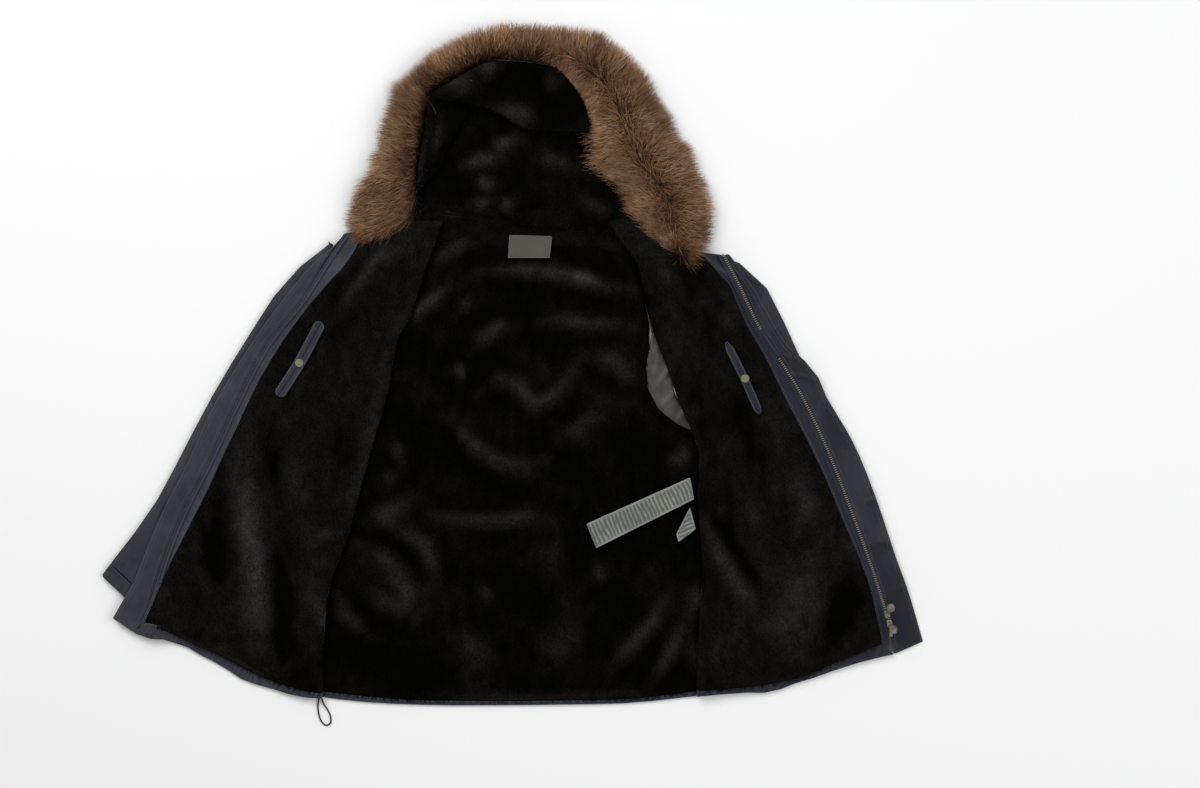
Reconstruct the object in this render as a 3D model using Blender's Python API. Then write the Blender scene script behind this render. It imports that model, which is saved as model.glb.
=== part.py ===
"""Fur trimmed parka, opened out and laid on its back with the lining up.

Blender 4.5, metres, +Z up.  +X runs across the open fronts, +Y towards the hood.
The tables below are in millimetres, on the floor that the parka lies on.
"""
import math

import bmesh
import bpy
from mathutils import Matrix, Vector
from mathutils.bvhtree import BVHTree

MM = 0.001

# Walls of the cloth, in millimetres
SHELL = 2.0          # woven outer cloth with its backing
PILE_LINING = 7.0    # quilted body lining with its pile
HOOD_PILE = 8.0      # quilted hood lining
FACING = 2.6         # navy facing, two layers of cloth
FLAP = 3.0           # storm flap, folded cloth
HEM_BAND = 2.4       # turned-up hem that holds the drawcord
SATIN = 4.0          # sleeve lining, gathered
WELT = 3.0           # pocket welt
LABEL = 0.9          # neck label
STRAP = 2.2          # ribbed carrying strap
TAPE = 1.0           # zip tape
HOOD_SIDE = 5.6      # the hood's side panel
TAPE_WIDTH = 9.0
TAPE_INSET = 2.0     # between the left zip line and its tape
TAPE_MARGIN = 0.6    # how far the right tape runs past the teeth
SATIN_WIDTH = 46.0   # how far the satin runs under the right front
SATIN_TAPER = 1.5    # how much less far at each point down the back's edge

# Flattened sleeves
SLEEVE_DEPTH = 15.0  # whole depth of the padded tube as it lies
SLEEVE_SLIT = 1.6    # what is left of its hollow
SLEEVE_STATIONS = 11
CUFF_DEPTH = 13.5

# Sections of the soft solids: share of the width, share of the depth
TUBE_SECTION = ((0.0, 0.42), (0.04, 0.12), (0.12, 0.0), (0.5, 0.0), (0.88, 0.0), (0.96, 0.12),
                (1.0, 0.42), (0.96, 0.76), (0.85, 0.95), (0.5, 1.0), (0.15, 0.95), (0.04, 0.76))
FUR_SECTION = ((0.0, 0.0), (0.5, 0.0), (1.0, 0.0), (1.0, 0.34), (0.93, 0.66), (0.75, 0.92),
               (0.5, 1.0), (0.25, 0.9), (0.08, 0.62), (0.0, 0.34))
# The slit in the tube: share of the width, and -1 below, 0 at or 1 above its middle
SLIT_SECTION = ((0.08, 0), (0.10, -1), (0.2, -1), (0.5, -1), (0.8, -1), (0.90, -1), (0.92, 0),
                (0.90, 1), (0.8, 1), (0.5, 1), (0.2, 1), (0.10, 1))
SLIT_LEVEL = 0.46    # height of the slit's middle, as a share of the tube's depth

# Fur trim and hood
FUR_DEPTH_EDGE = 54.0   # where the trim stands on its edge
FUR_DEPTH_FLAT = 44.0   # where it lies over
FUR_DEPTH_FOOT = 43.2   # at the left stretch's lower end
FUR_END_DEPTH = 0.55    # share of the depth that each stretch has at its very ends
FUR_END_RISE = 4.0      # how fast it rises from there along the stretch
HOOD_BOWL = 17.0        # rise of the hood lining towards the trim
HOOD_BOWL_WIDTH = 38.0
HOOD_NECK_WIDTH = 70.0  # the bowl fades out over this much of the hood above the neck
CROWN_LIFT = 15.0       # how far the crown's lip stands off the lining

# Zip
TOOTH_WIDTH = 5.4
TOOTH_HEIGHT = 2.4
SNAP_DIAMETER = 15.0
SNAP_HEIGHT = 3.0
SNAP_CROWN = 0.86    # share of its width that the snap keeps at its top
SNAP_SIDES = 24
SNAP_TURN = 30       # degrees between the points that seat the snap
CORD_DIAMETER = 2.5

GAP = 0.5            # clearance between pieces that touch
SEAM = 1.0           # clearance between edges that meet side by side
SATIN_GAP = 5.0      # between the back's armhole edge and the satin
HOOD_INSET = 2.5     # between the hood's cloth and the foot of the fur trim

PROP_REACH = 2.0     # a sheet also clears what lies this near to each point that holds it up
LATTICE = 6          # steps along a facet's side where a sheet that lies on others is held up
SETTLE_PASSES = 30
EASE_PASSES = 3      # rounds that let a sheet bridge the hollows between what it lies on
EASE = 0.96
LAYER_STEP = 0.5     # how far a layer's edge stands in from the shell's
PILE_INSET = 1.0     # how far the back's lining stands in from its shell
SHARP_ANGLE = 40.0   # degrees between facets that still shade as one surface

FRAME_SHIFT = (1.0, 8.66)   # puts the origin under the middle of the footprint

NAVY = (0.040, 0.048, 0.068)
NAVY_LIGHT = (0.060, 0.068, 0.088)
BLACK_PILE = (0.012, 0.011, 0.010)
FUR_BROWN = (0.24, 0.145, 0.09)
SATIN_GREY = (0.075, 0.070, 0.064)
WEBBING = (0.27, 0.29, 0.25)
LABEL_GREY = (0.095, 0.088, 0.076)
BRONZE = (0.19, 0.165, 0.135)
CORD_BLACK = (0.012, 0.012, 0.013)
CLOTH_ROUGHNESS = 0.85
SHELL_ROUGHNESS = 0.75
SATIN_ROUGHNESS = 0.45
FUR_ROUGHNESS = 0.9
METAL_ROUGHNESS = 0.4
METALLIC = 0.85

# Edges, top to bottom.  Each is a smooth curve through a few points (x, y).
ZIP_LINE_LEFT = ((-268, 212), (-305, 155), (-340, 100), (-396, 30), (-447, -68), (-489, -159),
                 (-524, -226), (-550, -287), (-570, -348), (-582, -390), (-604, -428))
ZIP_LINE_RIGHT = ((337, 176), (365, 122), (392, 65), (430, 5), (458, -40), (488, -100), (510, -150),
                  (540, -228), (563, -290), (583, -350), (597, -395), (611, -463))
PILE_LINE_LEFT = ((-238, 213), (-263, 166), (-324, 95), (-373, 29), (-406, -27), (-447, -114),
                  (-487, -201), (-524, -273), (-554, -334), (-586, -410))
PILE_LINE_RIGHT = ((300, 180), (322, 155), (349, 121), (364, 80), (405, 9), (436, -53), (471, -119),
                   (502, -186), (527, -247), (553, -308), (573, -364), (591, -444))
FOLD_LINE_LEFT = ((-113, 231), (-148, 130), (-164, 79), (-186, 39), (-199, -38), (-233, -154),
                  (-262, -266), (-294, -354), (-302, -425), (-305, -533))
FOLD_LINE_RIGHT = ((152, 231), (170, 202), (196, 177), (204, 146), (222, 65), (254, -17), (270, -68),
                   (295, -119), (300, -166), (296, -200), (303, -282), (305, -343), (300, -394),
                   (295, -530))
BACK_EDGE_LEFT = ((-135, 216), (-165, 130), (-182, 79), (-203, 39), (-216, -38), (-250, -154),
                  (-280, -266), (-311, -354), (-320, -425), (-322, -529))
BACK_EDGE_RIGHT = ((178, 200), (196, 165), (205, 140), (214, 90), (221, 45), (214, 9), (217, -38),
                   (241, -78), (282, -103), (314, -128), (318, -180), (318, -343), (312, -528))
FLAP_EDGE_LEFT = ((-279, 196), (-322, 160), (-374, 97), (-428, 20), (-480, -68), (-522, -160),
                  (-556, -226), (-583, -287), (-603, -340), (-622, -374), (-640, -405))
FLAP_EDGE_RIGHT = ((346, 178), (388, 120), (414, 72), (444, 26), (470, 5), (487, -15), (501, -48),
                   (540, -113), (562, -160), (590, -235), (613, -305), (635, -365), (658, -443))

# Edges, left to right
NECK = ((-135, 216), (-121, 221), (-74, 232), (-25, 219), (63, 220), (130, 211), (178, 200))
TOP_LEFT = ((-268, 212), (-240, 213), (-205, 227), (-160, 231), (-113, 231))
TOP_RIGHT = ((152, 231), (192, 236), (222, 223), (258, 195), (285, 178), (337, 176))
HEM_LEFT = ((-604, -428), (-590, -436), (-538, -442), (-503, -463), (-468, -481), (-431, -505),
            (-386, -518), (-345, -530), (-305, -533))
HEM_BACK = ((-322, -529), (-258, -538), (-182, -543), (-105, -545), (-52, -545), (70, -544),
            (191, -541), (312, -528))
HEM_RIGHT = ((295, -530), (380, -524), (420, -524), (438, -514), (471, -505), (522, -487),
             (564, -474), (611, -463))
BAND_LEFT = ((-588, -412), (-534, -425), (-487, -450), (-438, -481), (-401, -500), (-335, -522),
             (-305, -526))
BAND_BACK = ((-321, -522), (-182, -536), (-52, -539), (70, -538), (191, -535), (312, -521))
BAND_RIGHT = ((295, -523), (360, -517), (415, -510), (471, -497), (522, -474), (591, -446))

# Sleeves: outer point, inner point (hidden under the front) of each section
SLEEVE_LEFT = (((-292, 197), (-224, 8)), ((-314, 182), (-246, -20)), ((-366, 134), (-278, -50)),
               ((-417, 59), (-315, -98)), ((-483, -50), (-372, -172)), ((-544, -166), (-440, -266)),
               ((-574, -221), (-476, -310)), ((-612, -275), (-515, -355)),
               ((-645, -317), (-558, -398)))
SLEEVE_RIGHT = (((302, 176), (330, -40)), ((338, 178), (338, -48)), ((370, 161), (347, -58)),
                ((396, 141), (356, -70)), ((418, 105), (364, -88)), ((455, 27), (378, -140)),
                ((488, -50), (396, -185)), ((530, -150), (418, -255)), ((572, -257), (452, -330)),
                ((600, -340), (490, -395)))
CUFF_LEFT_END = ((-660, -337), (-575, -417))
CUFF_RIGHT_END = ((607, -364), (499, -418))

# Hood and fur trim
HOOD_LEFT = ((-142, 433), (-142, 394), (-148, 353), (-154, 319), (-158, 286), (-174, 246))
HOOD_TOP = ((-142, 433), (-82, 465), (-41, 488), (9, 487), (42, 484), (74, 477))
HOOD_RIGHT = ((74, 477), (110, 436), (126, 402), (130, 369), (132, 343), (148, 306), (177, 286),
              (196, 266), (200, 246))
HOOD_BOTTOM = ((-174, 246), (-120, 238), (-74, 236), (-25, 223), (63, 225), (150, 213), (200, 246))
SIDE_EDGE = ((-64, 416), (-84, 384), (-100, 355), (-118, 314), (-147, 284))
CROWN_CORNER = (-136, 431)
CROWN_RIGHT = ((104, 436), (119, 402))
CROWN_LIP = ((-134, 427), (-74, 418), (-33, 409), (1, 390), (26, 375), (63, 374), (122, 371))
FUR_LEFT = (((-205, 236), (-272, 222)), ((-176, 248), (-262, 262)), ((-160, 286), (-242, 292)),
            ((-156, 319), (-222, 316)), ((-150, 353), (-206, 354)), ((-145, 394), (-192, 392)),
            ((-144, 431), (-179, 436)))
FUR_TOP = (((-146, 435), (-172, 452)), ((-116, 451), (-140, 467)), ((-82, 468), (-112, 491)),
           ((-41, 491), (-68, 512)), ((0, 491), (-18, 526)), ((42, 487), (34, 527)),
           ((68, 482), (72, 521)))
FUR_RIGHT = (((76, 479), (84, 523)), ((97, 456), (138, 522)), ((113, 436), (177, 496)),
             ((129, 402), (214, 463)), ((133, 369), (247, 415)), ((135, 343), (272, 380)),
             ((151, 308), (294, 347)), ((180, 289), (309, 310)), ((199, 268), (318, 272)),
             ((203, 244), (325, 234)), ((228, 228), (326, 216)), ((262, 202), (318, 203)),
             ((284, 184), (303, 190)))

# Folds of the lining: height, half width, and the line that each ridge follows
BACK_FOLDS = (
    (8, 20, ((-150, 96), (-95, 130), (-39, 154), (60, 150), (191, 124))),
    (9, 20, ((-60, 30), (-14, 60), (68, 70), (170, 65))),
    (7, 20, ((-9, -22), (28, -63), (68, -47), (103, -7))),
    (9, 22, ((-105, -89), (-65, -135), (17, -166), (58, -145))),
    (6, 20, ((78, -119), (129, -89))),
    (8, 22, ((-212, -247), (-167, -257), (-135, -292), (-116, -334))),
    (5, 20, ((-111, -242), (17, -247))),
    (8, 22, ((-228, -298), (-207, -354), (-167, -390), (-135, -394))),
    (6, 20, ((-279, -369), (-242, -425))),
    (5, 20, ((-95, -430), (-54, -466))),
    (6, 20, ((84, -420), (58, -466))),
    (8, 22, ((159, -481), (247, -385))),
    (8, 20, ((226, -500), (282, -394))),
    (6, 18, ((135, 14), (201, -33))),
)
FRONT_FOLDS_LEFT = (
    (8, 28, ((-438, -170), (-410, -329), (-417, -470))),
    (6, 22, ((-225, 170), (-270, 80))),
    (4, 20, ((-340, -120), (-350, -240))),
)
FRONT_FOLDS_RIGHT = (
    (8, 24, ((312, -252), (345, -338), (380, -406))),
    (6, 22, ((300, 90), (350, 88))),
    (6, 30, ((470, -330), (430, -400), (415, -470))),
)
HOOD_FOLDS = (
    (6, 20, ((-75, 330), (-20, 356), (20, 350))),
    (5, 18, ((40, 330), (100, 310))),
    (5, 18, ((-60, 268), (0, 250))),
    (6, 16, ((110, 275), (150, 240))),
)
CROWN_FOLDS = (
    (7, 20, ((-110, 446), (-50, 470), (-20, 468))),
    (6, 18, ((0, 430), (15, 400), (45, 392))),
    (5, 16, ((45, 470), (66, 430))),
)

FRONTS = {
    "left": {"zip": ZIP_LINE_LEFT, "pile": PILE_LINE_LEFT, "fold": FOLD_LINE_LEFT,
             "flap": FLAP_EDGE_LEFT, "top": TOP_LEFT, "hem": HEM_LEFT, "band": BAND_LEFT,
             "facing_foot": (-593, -411), "folds": FRONT_FOLDS_LEFT},
    "right": {"zip": ZIP_LINE_RIGHT, "pile": PILE_LINE_RIGHT, "fold": FOLD_LINE_RIGHT,
              "flap": FLAP_EDGE_RIGHT, "top": TOP_RIGHT, "hem": HEM_RIGHT, "band": BAND_RIGHT,
              "facing_foot": (605, -444), "folds": FRONT_FOLDS_RIGHT},
}

# Small trim
LABEL_CORNERS = ((-5, 209), (63, 207), (59, 172), (-7, 172))
STRAP_CORNERS = ((119, -254), (284, -180), (290, -214), (134, -292))
STRAP_END_CORNERS = ((263, -270), (284, -228), (293, -262), (266, -282))
WELTS = {
    "left": {"line": ((-305, 69), (-340, 4), (-374, -49)), "width": 17, "snap": (-340, 4)},
    "right": {"line": ((341, 37), (370, -21), (395, -77)), "width": 12, "snap": (371, -21)},
}
CORD_ROUTE = ((-311, -534.8, 2.6), (-313, -545, 2.0), (-312, -559, 1.5), (-307, -572, 1.5),
              (-300, -578, 1.5), (-293, -574, 1.5), (-293, -564, 1.5), (-298, -552, 1.7),
              (-304, -543, 2.4), (-306.5, -535.2, 2.6))
CORD_POINTS = 22

# Zip sliders: place, offset of the bridge along the zip, way the tab lies (degrees from +X)
SLIDERS = {
    "upper": {"place": (597.8, -396.0), "bridge": 1.0, "turn": 63.0},
    "lower": {"place": (601.8, -412.0), "bridge": -1.0, "turn": -60.0},
}
ZIP_HEADING = -76.0      # run of the zip at the sliders, degrees from +X
SLIDER_LENGTH = 12.0
SLIDER_WIDTH = 9.0
SLIDER_HEIGHT = 3.6
SLIDER_BEVEL = 0.5
SLIDER_OUTLINE = ((-0.5, 0.36), (-0.2, 0.5), (0.2, 0.5), (0.5, 0.36), (0.5, -0.36), (0.2, -0.5),
                  (-0.2, -0.5), (-0.5, -0.36))   # shares of the length and width
SLIDER_AREA = ((590, 624), (-436, -378))   # what both sliders stand over, across and along
SEAT_STEP = 3
BRIDGE_FOOT = 0.8
LUG_THICKNESS = 1.2
LUG_LENGTH = 3.2
LUG_HEIGHT = 4.0
PIVOT_HEIGHT = 2.6       # hinge line above the bridge's underside
HINGE_GAP = 0.35
TAB_LENGTH = 20.0
TAB_WIDTH = 14.0
TAB_THICKNESS = 1.6
TAB_NECK = 4.4
TAB_HEEL = 1.2           # how far the neck reaches past its hinge
TAB_THROAT = 0.17        # share of the tab's length where it starts to open
TAB_BELLY = 0.62         # share of its length where it is widest
TAB_STEPS = 10
TAB_BEVEL = 0.3
ZIP_END = (606, -424)
TEETH_END = (599, -404)
ZIP_STOP = (606, -431)
STOP_WIDTH = 5.0
STOP_LENGTH = 6.0
STOP_HEIGHT = 2.4
STOP_SEAT = 4            # half side of the square that seats the stop
STOP_BEVEL = 0.5

solids = {}    # name -> search tree of the piece's faces, for what is laid on it later


def along(points, count):
    """Points spaced evenly on a smooth curve through a short table, in metres."""
    knots = [Vector(p) * MM for p in points]
    if len(knots) == 2:
        return [knots[0].lerp(knots[1], i / (count - 1)) for i in range(count)]
    lengths = [0.0]
    for before, after in zip(knots, knots[1:]):
        lengths.append(lengths[-1] + (after - before).length)
    slopes = []
    for i in range(len(knots)):
        first = max(i - 1, 0)
        last = min(i + 1, len(knots) - 1)
        slopes.append((knots[last] - knots[first]) / (lengths[last] - lengths[first]))
    result = []
    for i in range(count):
        reach = lengths[-1] * i / (count - 1)
        k = 0
        while k < len(knots) - 2 and reach > lengths[k + 1]:
            k += 1
        span = lengths[k + 1] - lengths[k]
        t = (reach - lengths[k]) / span
        result.append(knots[k] * (2 * t ** 3 - 3 * t ** 2 + 1)
                      + slopes[k] * span * (t ** 3 - 2 * t ** 2 + t)
                      + knots[k + 1] * (3 * t ** 2 - 2 * t ** 3)
                      + slopes[k + 1] * span * (t ** 3 - t ** 2))
    return result


def moved(points, across):
    """A table of edge points moved sideways by a few millimetres, to its right when positive."""
    return tuple((x + across, y) for x, y in points)


def patch(left, right, top=None, bottom=None, rows=20, cols=8):
    """Rows of points that fill the space between four edge curves (a Coons patch)."""
    side_a = along(left, rows + 1)
    side_b = along(right, rows + 1)
    head = along(top or (left[0], right[0]), cols + 1)
    foot = along(bottom or (left[-1], right[-1]), cols + 1)
    grid = []
    for r in range(rows + 1):
        v = r / rows
        row = []
        for c in range(cols + 1):
            u = c / cols
            ends = side_a[r] * (1 - u) + side_b[r] * u
            run = head[c] * (1 - v) + foot[c] * v
            corners = ((head[0] * (1 - u) + head[-1] * u) * (1 - v)
                       + (foot[0] * (1 - u) + foot[-1] * u) * v)
            row.append(ends + run - corners)
        grid.append(row)
    return grid


def top_at(x, y, supports):
    """Height of the tops of the named pieces around a point, or 0 for the floor."""
    reach = PROP_REACH * MM
    height = 0.0
    for name in supports:
        for dx, dy in ((0, 0), (reach, 0), (-reach, 0), (0, reach), (0, -reach)):
            hit = solids[name].ray_cast(Vector((x + dx, y + dy, 1.0)), Vector((0, 0, -1)))[0]
            if hit and hit.z > height:
                height = hit.z
    return height + GAP * MM if height else 0.0


def cell_triangles(rows, cols):
    """The two triangles of every cell of a grid, as (row, column) corners."""
    for r in range(rows):
        for c in range(cols):
            yield (r, c), (r + 1, c), (r + 1, c + 1)
            yield (r, c), (r + 1, c + 1), (r, c + 1)


def laid_on(grid, supports):
    """Heights at which a faceted sheet lies clear on the named pieces and on the floor.

    Every facet is held up at a lattice of points.  Where one falls short, its corners rise by
    their share of what is missing, again and again, until the whole sheet is clear.
    """
    rows = len(grid) - 1
    cols = len(grid[0]) - 1
    heights = {(r, c): top_at(grid[r][c].x, grid[r][c].y, supports)
               for r in range(rows + 1) for c in range(cols + 1)}
    props = []
    for corners in cell_triangles(rows, cols):
        for i in range(LATTICE + 1):
            for j in range(LATTICE + 1 - i):
                shares = (i / LATTICE, j / LATTICE, 1 - (i + j) / LATTICE)
                x = sum(w * grid[r][c].x for w, (r, c) in zip(shares, corners))
                y = sum(w * grid[r][c].y for w, (r, c) in zip(shares, corners))
                need = top_at(x, y, supports)
                if need:
                    props.append((need, list(zip(shares, corners))))
    for _ in range(SETTLE_PASSES):
        for need, held in props:
            short = need - sum(w * heights[corner] for w, corner in held)
            if short > 0:
                whole = sum(w * w for w, _ in held)
                for w, corner in held:
                    heights[corner] += short * w / whole
    last = dict.fromkeys(heights, 0.0)
    for need, held in props:
        short = need - sum(w * heights[corner] for w, corner in held)
        for _, corner in held:
            last[corner] = max(last[corner], short)
    for corner, lift in last.items():
        heights[corner] += lift
    for _ in range(EASE_PASSES):
        eased = dict(heights)
        for r, c in heights:
            near = [heights[at] for at in ((r + 1, c), (r - 1, c), (r, c + 1), (r, c - 1))
                    if at in heights]
            eased[r, c] = max(heights[r, c], sum(near) / len(near) * EASE)
        heights = eased
    return [[heights[r, c] for c in range(cols + 1)] for r in range(rows + 1)]


def distance_to(x, y, line):
    """Distance from a point to a line of points, in millimetres."""
    here = Vector((x, y))
    best = math.inf
    for a, b in zip(line, line[1:]):
        start = Vector(a)
        run = Vector(b) - start
        t = max(0.0, min(1.0, (here - start).dot(run) / run.length_squared))
        best = min(best, (start + run * t - here).length)
    return best


def fold_height(x, y, folds):
    """Height that soft ridges add at a point, in millimetres."""
    return max((height * math.exp(-(distance_to(x, y, line) / width) ** 2)
                for height, width, line in folds), default=0.0)


def finish(name, bm, colour, roughness, metallic, parent):
    """Turns a closed bmesh into a named object with its own material."""
    bmesh.ops.recalc_face_normals(bm, faces=bm.faces)
    mesh = bpy.data.meshes.new(name)
    bm.to_mesh(mesh)
    bm.free()
    mesh.shade_smooth()
    mesh.set_sharp_from_angle(angle=math.radians(SHARP_ANGLE))
    obj = bpy.data.objects.new(name, mesh)
    bpy.data.collections["fur_trimmed_parka"].objects.link(obj)
    obj.parent = parent
    paint(obj, colour, roughness, metallic)
    solids[name] = BVHTree.FromPolygons([v.co for v in mesh.vertices],
                                        [p.vertices for p in mesh.polygons])
    return obj


def paint(obj, colour, roughness, metallic):
    material = bpy.data.materials.new(obj.name)
    material.use_nodes = True
    shader = material.node_tree.nodes["Principled BSDF"]
    shader.inputs["Base Color"].default_value = (*colour, 1.0)
    shader.inputs["Roughness"].default_value = roughness
    shader.inputs["Metallic"].default_value = metallic
    obj.data.materials.append(material)


def sheet(name, grid, supports, wall, parent, colour, roughness=CLOTH_ROUGHNESS, folds=(), rise=None,
          swell=None):
    """A cloth panel: its underside lies on the named pieces, its top follows its folds.

    rise(share down the panel) lifts the whole panel and swell(x, y) thickens it, in millimetres.
    """
    rows = len(grid) - 1
    cols = len(grid[0]) - 1
    under = laid_on(grid, supports)
    bm = bmesh.new()
    low = []
    high = []
    for r, row in enumerate(grid):
        low.append([])
        high.append([])
        for c, point in enumerate(row):
            x = point.x / MM
            y = point.y / MM
            base = under[r][c] + (rise(r / rows) * MM if rise else 0.0)
            depth = wall + fold_height(x, y, folds) + (swell(x, y) if swell else 0.0)
            low[r].append(bm.verts.new((point.x, point.y, base)))
            high[r].append(bm.verts.new((point.x, point.y, base + depth * MM)))
    for corners in cell_triangles(rows, cols):
        bm.faces.new([high[r][c] for r, c in corners])
        bm.faces.new([low[r][c] for r, c in reversed(corners)])
    rim = ([(0, c) for c in range(cols)] + [(r, cols) for r in range(rows)]
           + [(rows, c) for c in range(cols, 0, -1)] + [(r, 0) for r in range(rows, 0, -1)])
    for (r0, c0), (r1, c1) in zip(rim, rim[1:] + rim[:1]):
        bm.faces.new((high[r0][c0], high[r1][c1], low[r1][c1], low[r0][c0]))
    return finish(name, bm, colour, roughness, 0.0, parent)


def ring(outer, inner, profile):
    """One section between two floor points: profile gives (share across, height)."""
    start = Vector(outer) * MM
    end = Vector(inner) * MM
    return [(*start.lerp(end, share), height * MM) for share, height in profile]


def loft(name, rings, hollows, parent, colour, roughness):
    """A closed solid through its sections, with a hollow through it where hollows are given."""
    bm = bmesh.new()
    outside = [[bm.verts.new(p) for p in section] for section in rings]
    inside = [[bm.verts.new(p) for p in section] for section in hollows]
    count = len(outside[0])
    for skin in (outside, inside):
        for before, after in zip(skin, skin[1:]):
            for i in range(count):
                j = (i + 1) % count
                bm.faces.new((before[i], before[j], after[j], after[i]))
    for end in (0, -1):
        if inside:
            for i in range(count):
                j = (i + 1) % count
                bm.faces.new((outside[end][i], outside[end][j], inside[end][j], inside[end][i]))
        else:
            bm.faces.new(outside[end])
    return finish(name, bm, colour, roughness, 0.0, parent)


def scaled(section, depth):
    """A section's heights in millimetres, from shares of its depth."""
    return [(share, level * depth) for share, level in section]


def tube(name, sections, depth, parent):
    """A padded tube pressed flat: level underneath, full on top, with a flat hollow."""
    slit = [(share, depth * SLIT_LEVEL + side * SLEEVE_SLIT / 2) for share, side in SLIT_SECTION]
    loft(name, [ring(*ends, scaled(TUBE_SECTION, depth)) for ends in sections],
         [ring(*ends, slit) for ends in sections], parent, NAVY_LIGHT, SHELL_ROUGHNESS)


def sleeve(side, sections, cuff_end, parent):
    """A sleeve and, past its stitched line, its cuff."""
    outer = along([s[0] for s in sections], SLEEVE_STATIONS)
    inner = along([s[1] for s in sections], SLEEVE_STATIONS)
    sections = [(a / MM, b / MM) for a, b in zip(outer, inner)]
    tube(f"sleeve_{side}", sections, SLEEVE_DEPTH, parent)
    last = sections[-1]
    run = Vector(cuff_end[0]) - last[0]
    step = run.normalized() * SEAM
    start = (last[0] + step, last[1] + step)
    tube(f"cuff_{side}", [start, cuff_end], CUFF_DEPTH, parent)


def fur(name, sections, depths, parent):
    """The reach of one stretch of the fur trim: a mound across the hood's edge."""
    count = 2 * len(sections) - 1
    inner = along([s[0] for s in sections], count)
    outer = along([s[1] for s in sections], count)
    rings = []
    for i, (a, b) in enumerate(zip(inner, outer)):
        share = i / (count - 1)
        depth = depths[0] * (1 - share) + depths[1] * share
        depth *= min(1.0, FUR_END_RISE * min(share, 1 - share) + FUR_END_DEPTH)
        rings.append(ring(a / MM, b / MM, scaled(FUR_SECTION, depth)))
    loft(name, rings, (), parent, FUR_BROWN, FUR_ROUGHNESS)


def build_back(parent):
    shell = patch(BACK_EDGE_LEFT, BACK_EDGE_RIGHT, NECK, HEM_BACK, rows=22, cols=8)
    sheet("back_shell", shell, (), SHELL, parent, NAVY)
    band = patch((BAND_BACK[0], HEM_BACK[0]), (BAND_BACK[-1], HEM_BACK[-1]), BAND_BACK, HEM_BACK,
                 rows=1, cols=14)
    sheet("hem_band_back", band, ("back_shell",), HEM_BAND, parent, NAVY)
    foot = [(x, y + SEAM) for x, y in BAND_BACK]
    lining = patch(moved(BACK_EDGE_LEFT[:-1] + (foot[0],), PILE_INSET),
                   moved(BACK_EDGE_RIGHT[:-1] + (foot[-1],), -PILE_INSET), NECK, foot,
                   rows=22, cols=14)
    sheet("back_lining", lining, ("back_shell",), PILE_LINING, parent, BLACK_PILE,
          folds=BACK_FOLDS)
    label = patch((LABEL_CORNERS[0], LABEL_CORNERS[3]), (LABEL_CORNERS[1], LABEL_CORNERS[2]),
                  rows=2, cols=3)
    sheet("neck_label", label, ("back_lining",), LABEL, parent, LABEL_GREY)
    strap = patch((STRAP_CORNERS[0], STRAP_CORNERS[3]), (STRAP_CORNERS[1], STRAP_CORNERS[2]),
                  rows=2, cols=9)
    sheet("carry_strap", strap, ("back_lining",), STRAP, parent, WEBBING)
    end = patch((STRAP_END_CORNERS[0], STRAP_END_CORNERS[3]),
                (STRAP_END_CORNERS[1], STRAP_END_CORNERS[2]), rows=2, cols=2)
    sheet("carry_strap_end", end, ("back_lining",), STRAP, parent, WEBBING)


def build_sleeve_lining(parent):
    """The satin of the right sleeve, seen through the armhole beside the back's edge."""
    stretch = BACK_EDGE_RIGHT[2:9]
    left = moved(stretch, SATIN_GAP)
    right = tuple((x + SATIN_WIDTH - SATIN_TAPER * i, y) for i, (x, y) in enumerate(stretch))
    sheet("sleeve_lining_right", patch(left, right, rows=12, cols=3), (), SATIN, parent,
          SATIN_GREY, SATIN_ROUGHNESS)


def build_front(side, supports, parent):
    """One front: shell, hem band, pile lining, navy facing and storm flap."""
    cut = FRONTS[side]
    outward = 1 if side == "right" else -1
    shell_name = f"front_shell_{side}"

    def span(outer, inner, top=None, bottom=None, rows=20, cols=2):
        """The patch between an edge nearer the zip and an edge nearer the back."""
        left, right = (inner, outer) if side == "right" else (outer, inner)
        return patch(left, right, top, bottom, rows, cols)

    sheet(shell_name, span(cut["zip"], cut["fold"], cut["top"], cut["hem"], cols=7), supports,
          SHELL, parent, NAVY)
    band_ends = (cut["band"][0], cut["band"][-1])
    hem_ends = (cut["hem"][0], cut["hem"][-1])
    band = patch((band_ends[0], hem_ends[0]), (band_ends[1], hem_ends[1]), cut["band"], cut["hem"],
                 rows=1, cols=12)
    sheet(f"hem_band_{side}", band, (shell_name,), HEM_BAND, parent, NAVY)

    over_band = tuple((x, y + SEAM) for x, y in cut["band"])
    at_zip, at_fold = (over_band[-1], over_band[0]) if side == "right" else (over_band[0],
                                                                            over_band[-1])
    pile_edge = cut["pile"][:-1] + (at_zip,)
    fold_edge = moved(cut["fold"][:-1], LAYER_STEP * outward) + (at_fold,)
    if side == "right":
        top = (fold_edge[0],) + cut["top"][1:4] + (pile_edge[0],)
    else:
        top = (pile_edge[0],) + cut["top"][2:4] + (fold_edge[0],)
    sheet(f"front_lining_{side}", span(pile_edge, fold_edge, top, over_band, cols=7),
          (shell_name,), PILE_LINING, parent, BLACK_PILE, folds=cut["folds"])

    facing_zip = moved(cut["zip"][:-1], -LAYER_STEP * outward) + (cut["facing_foot"],)
    sheet(f"facing_{side}", span(facing_zip, moved(pile_edge, SEAM * outward)), (shell_name,),
          FACING, parent, NAVY)

    flap = span(cut["flap"], moved(cut["zip"], SEAM * outward))
    sheet(f"storm_flap_{side}", flap, (f"sleeve_{side}", f"cuff_{side}"), FLAP, parent, NAVY_LIGHT)


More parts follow.
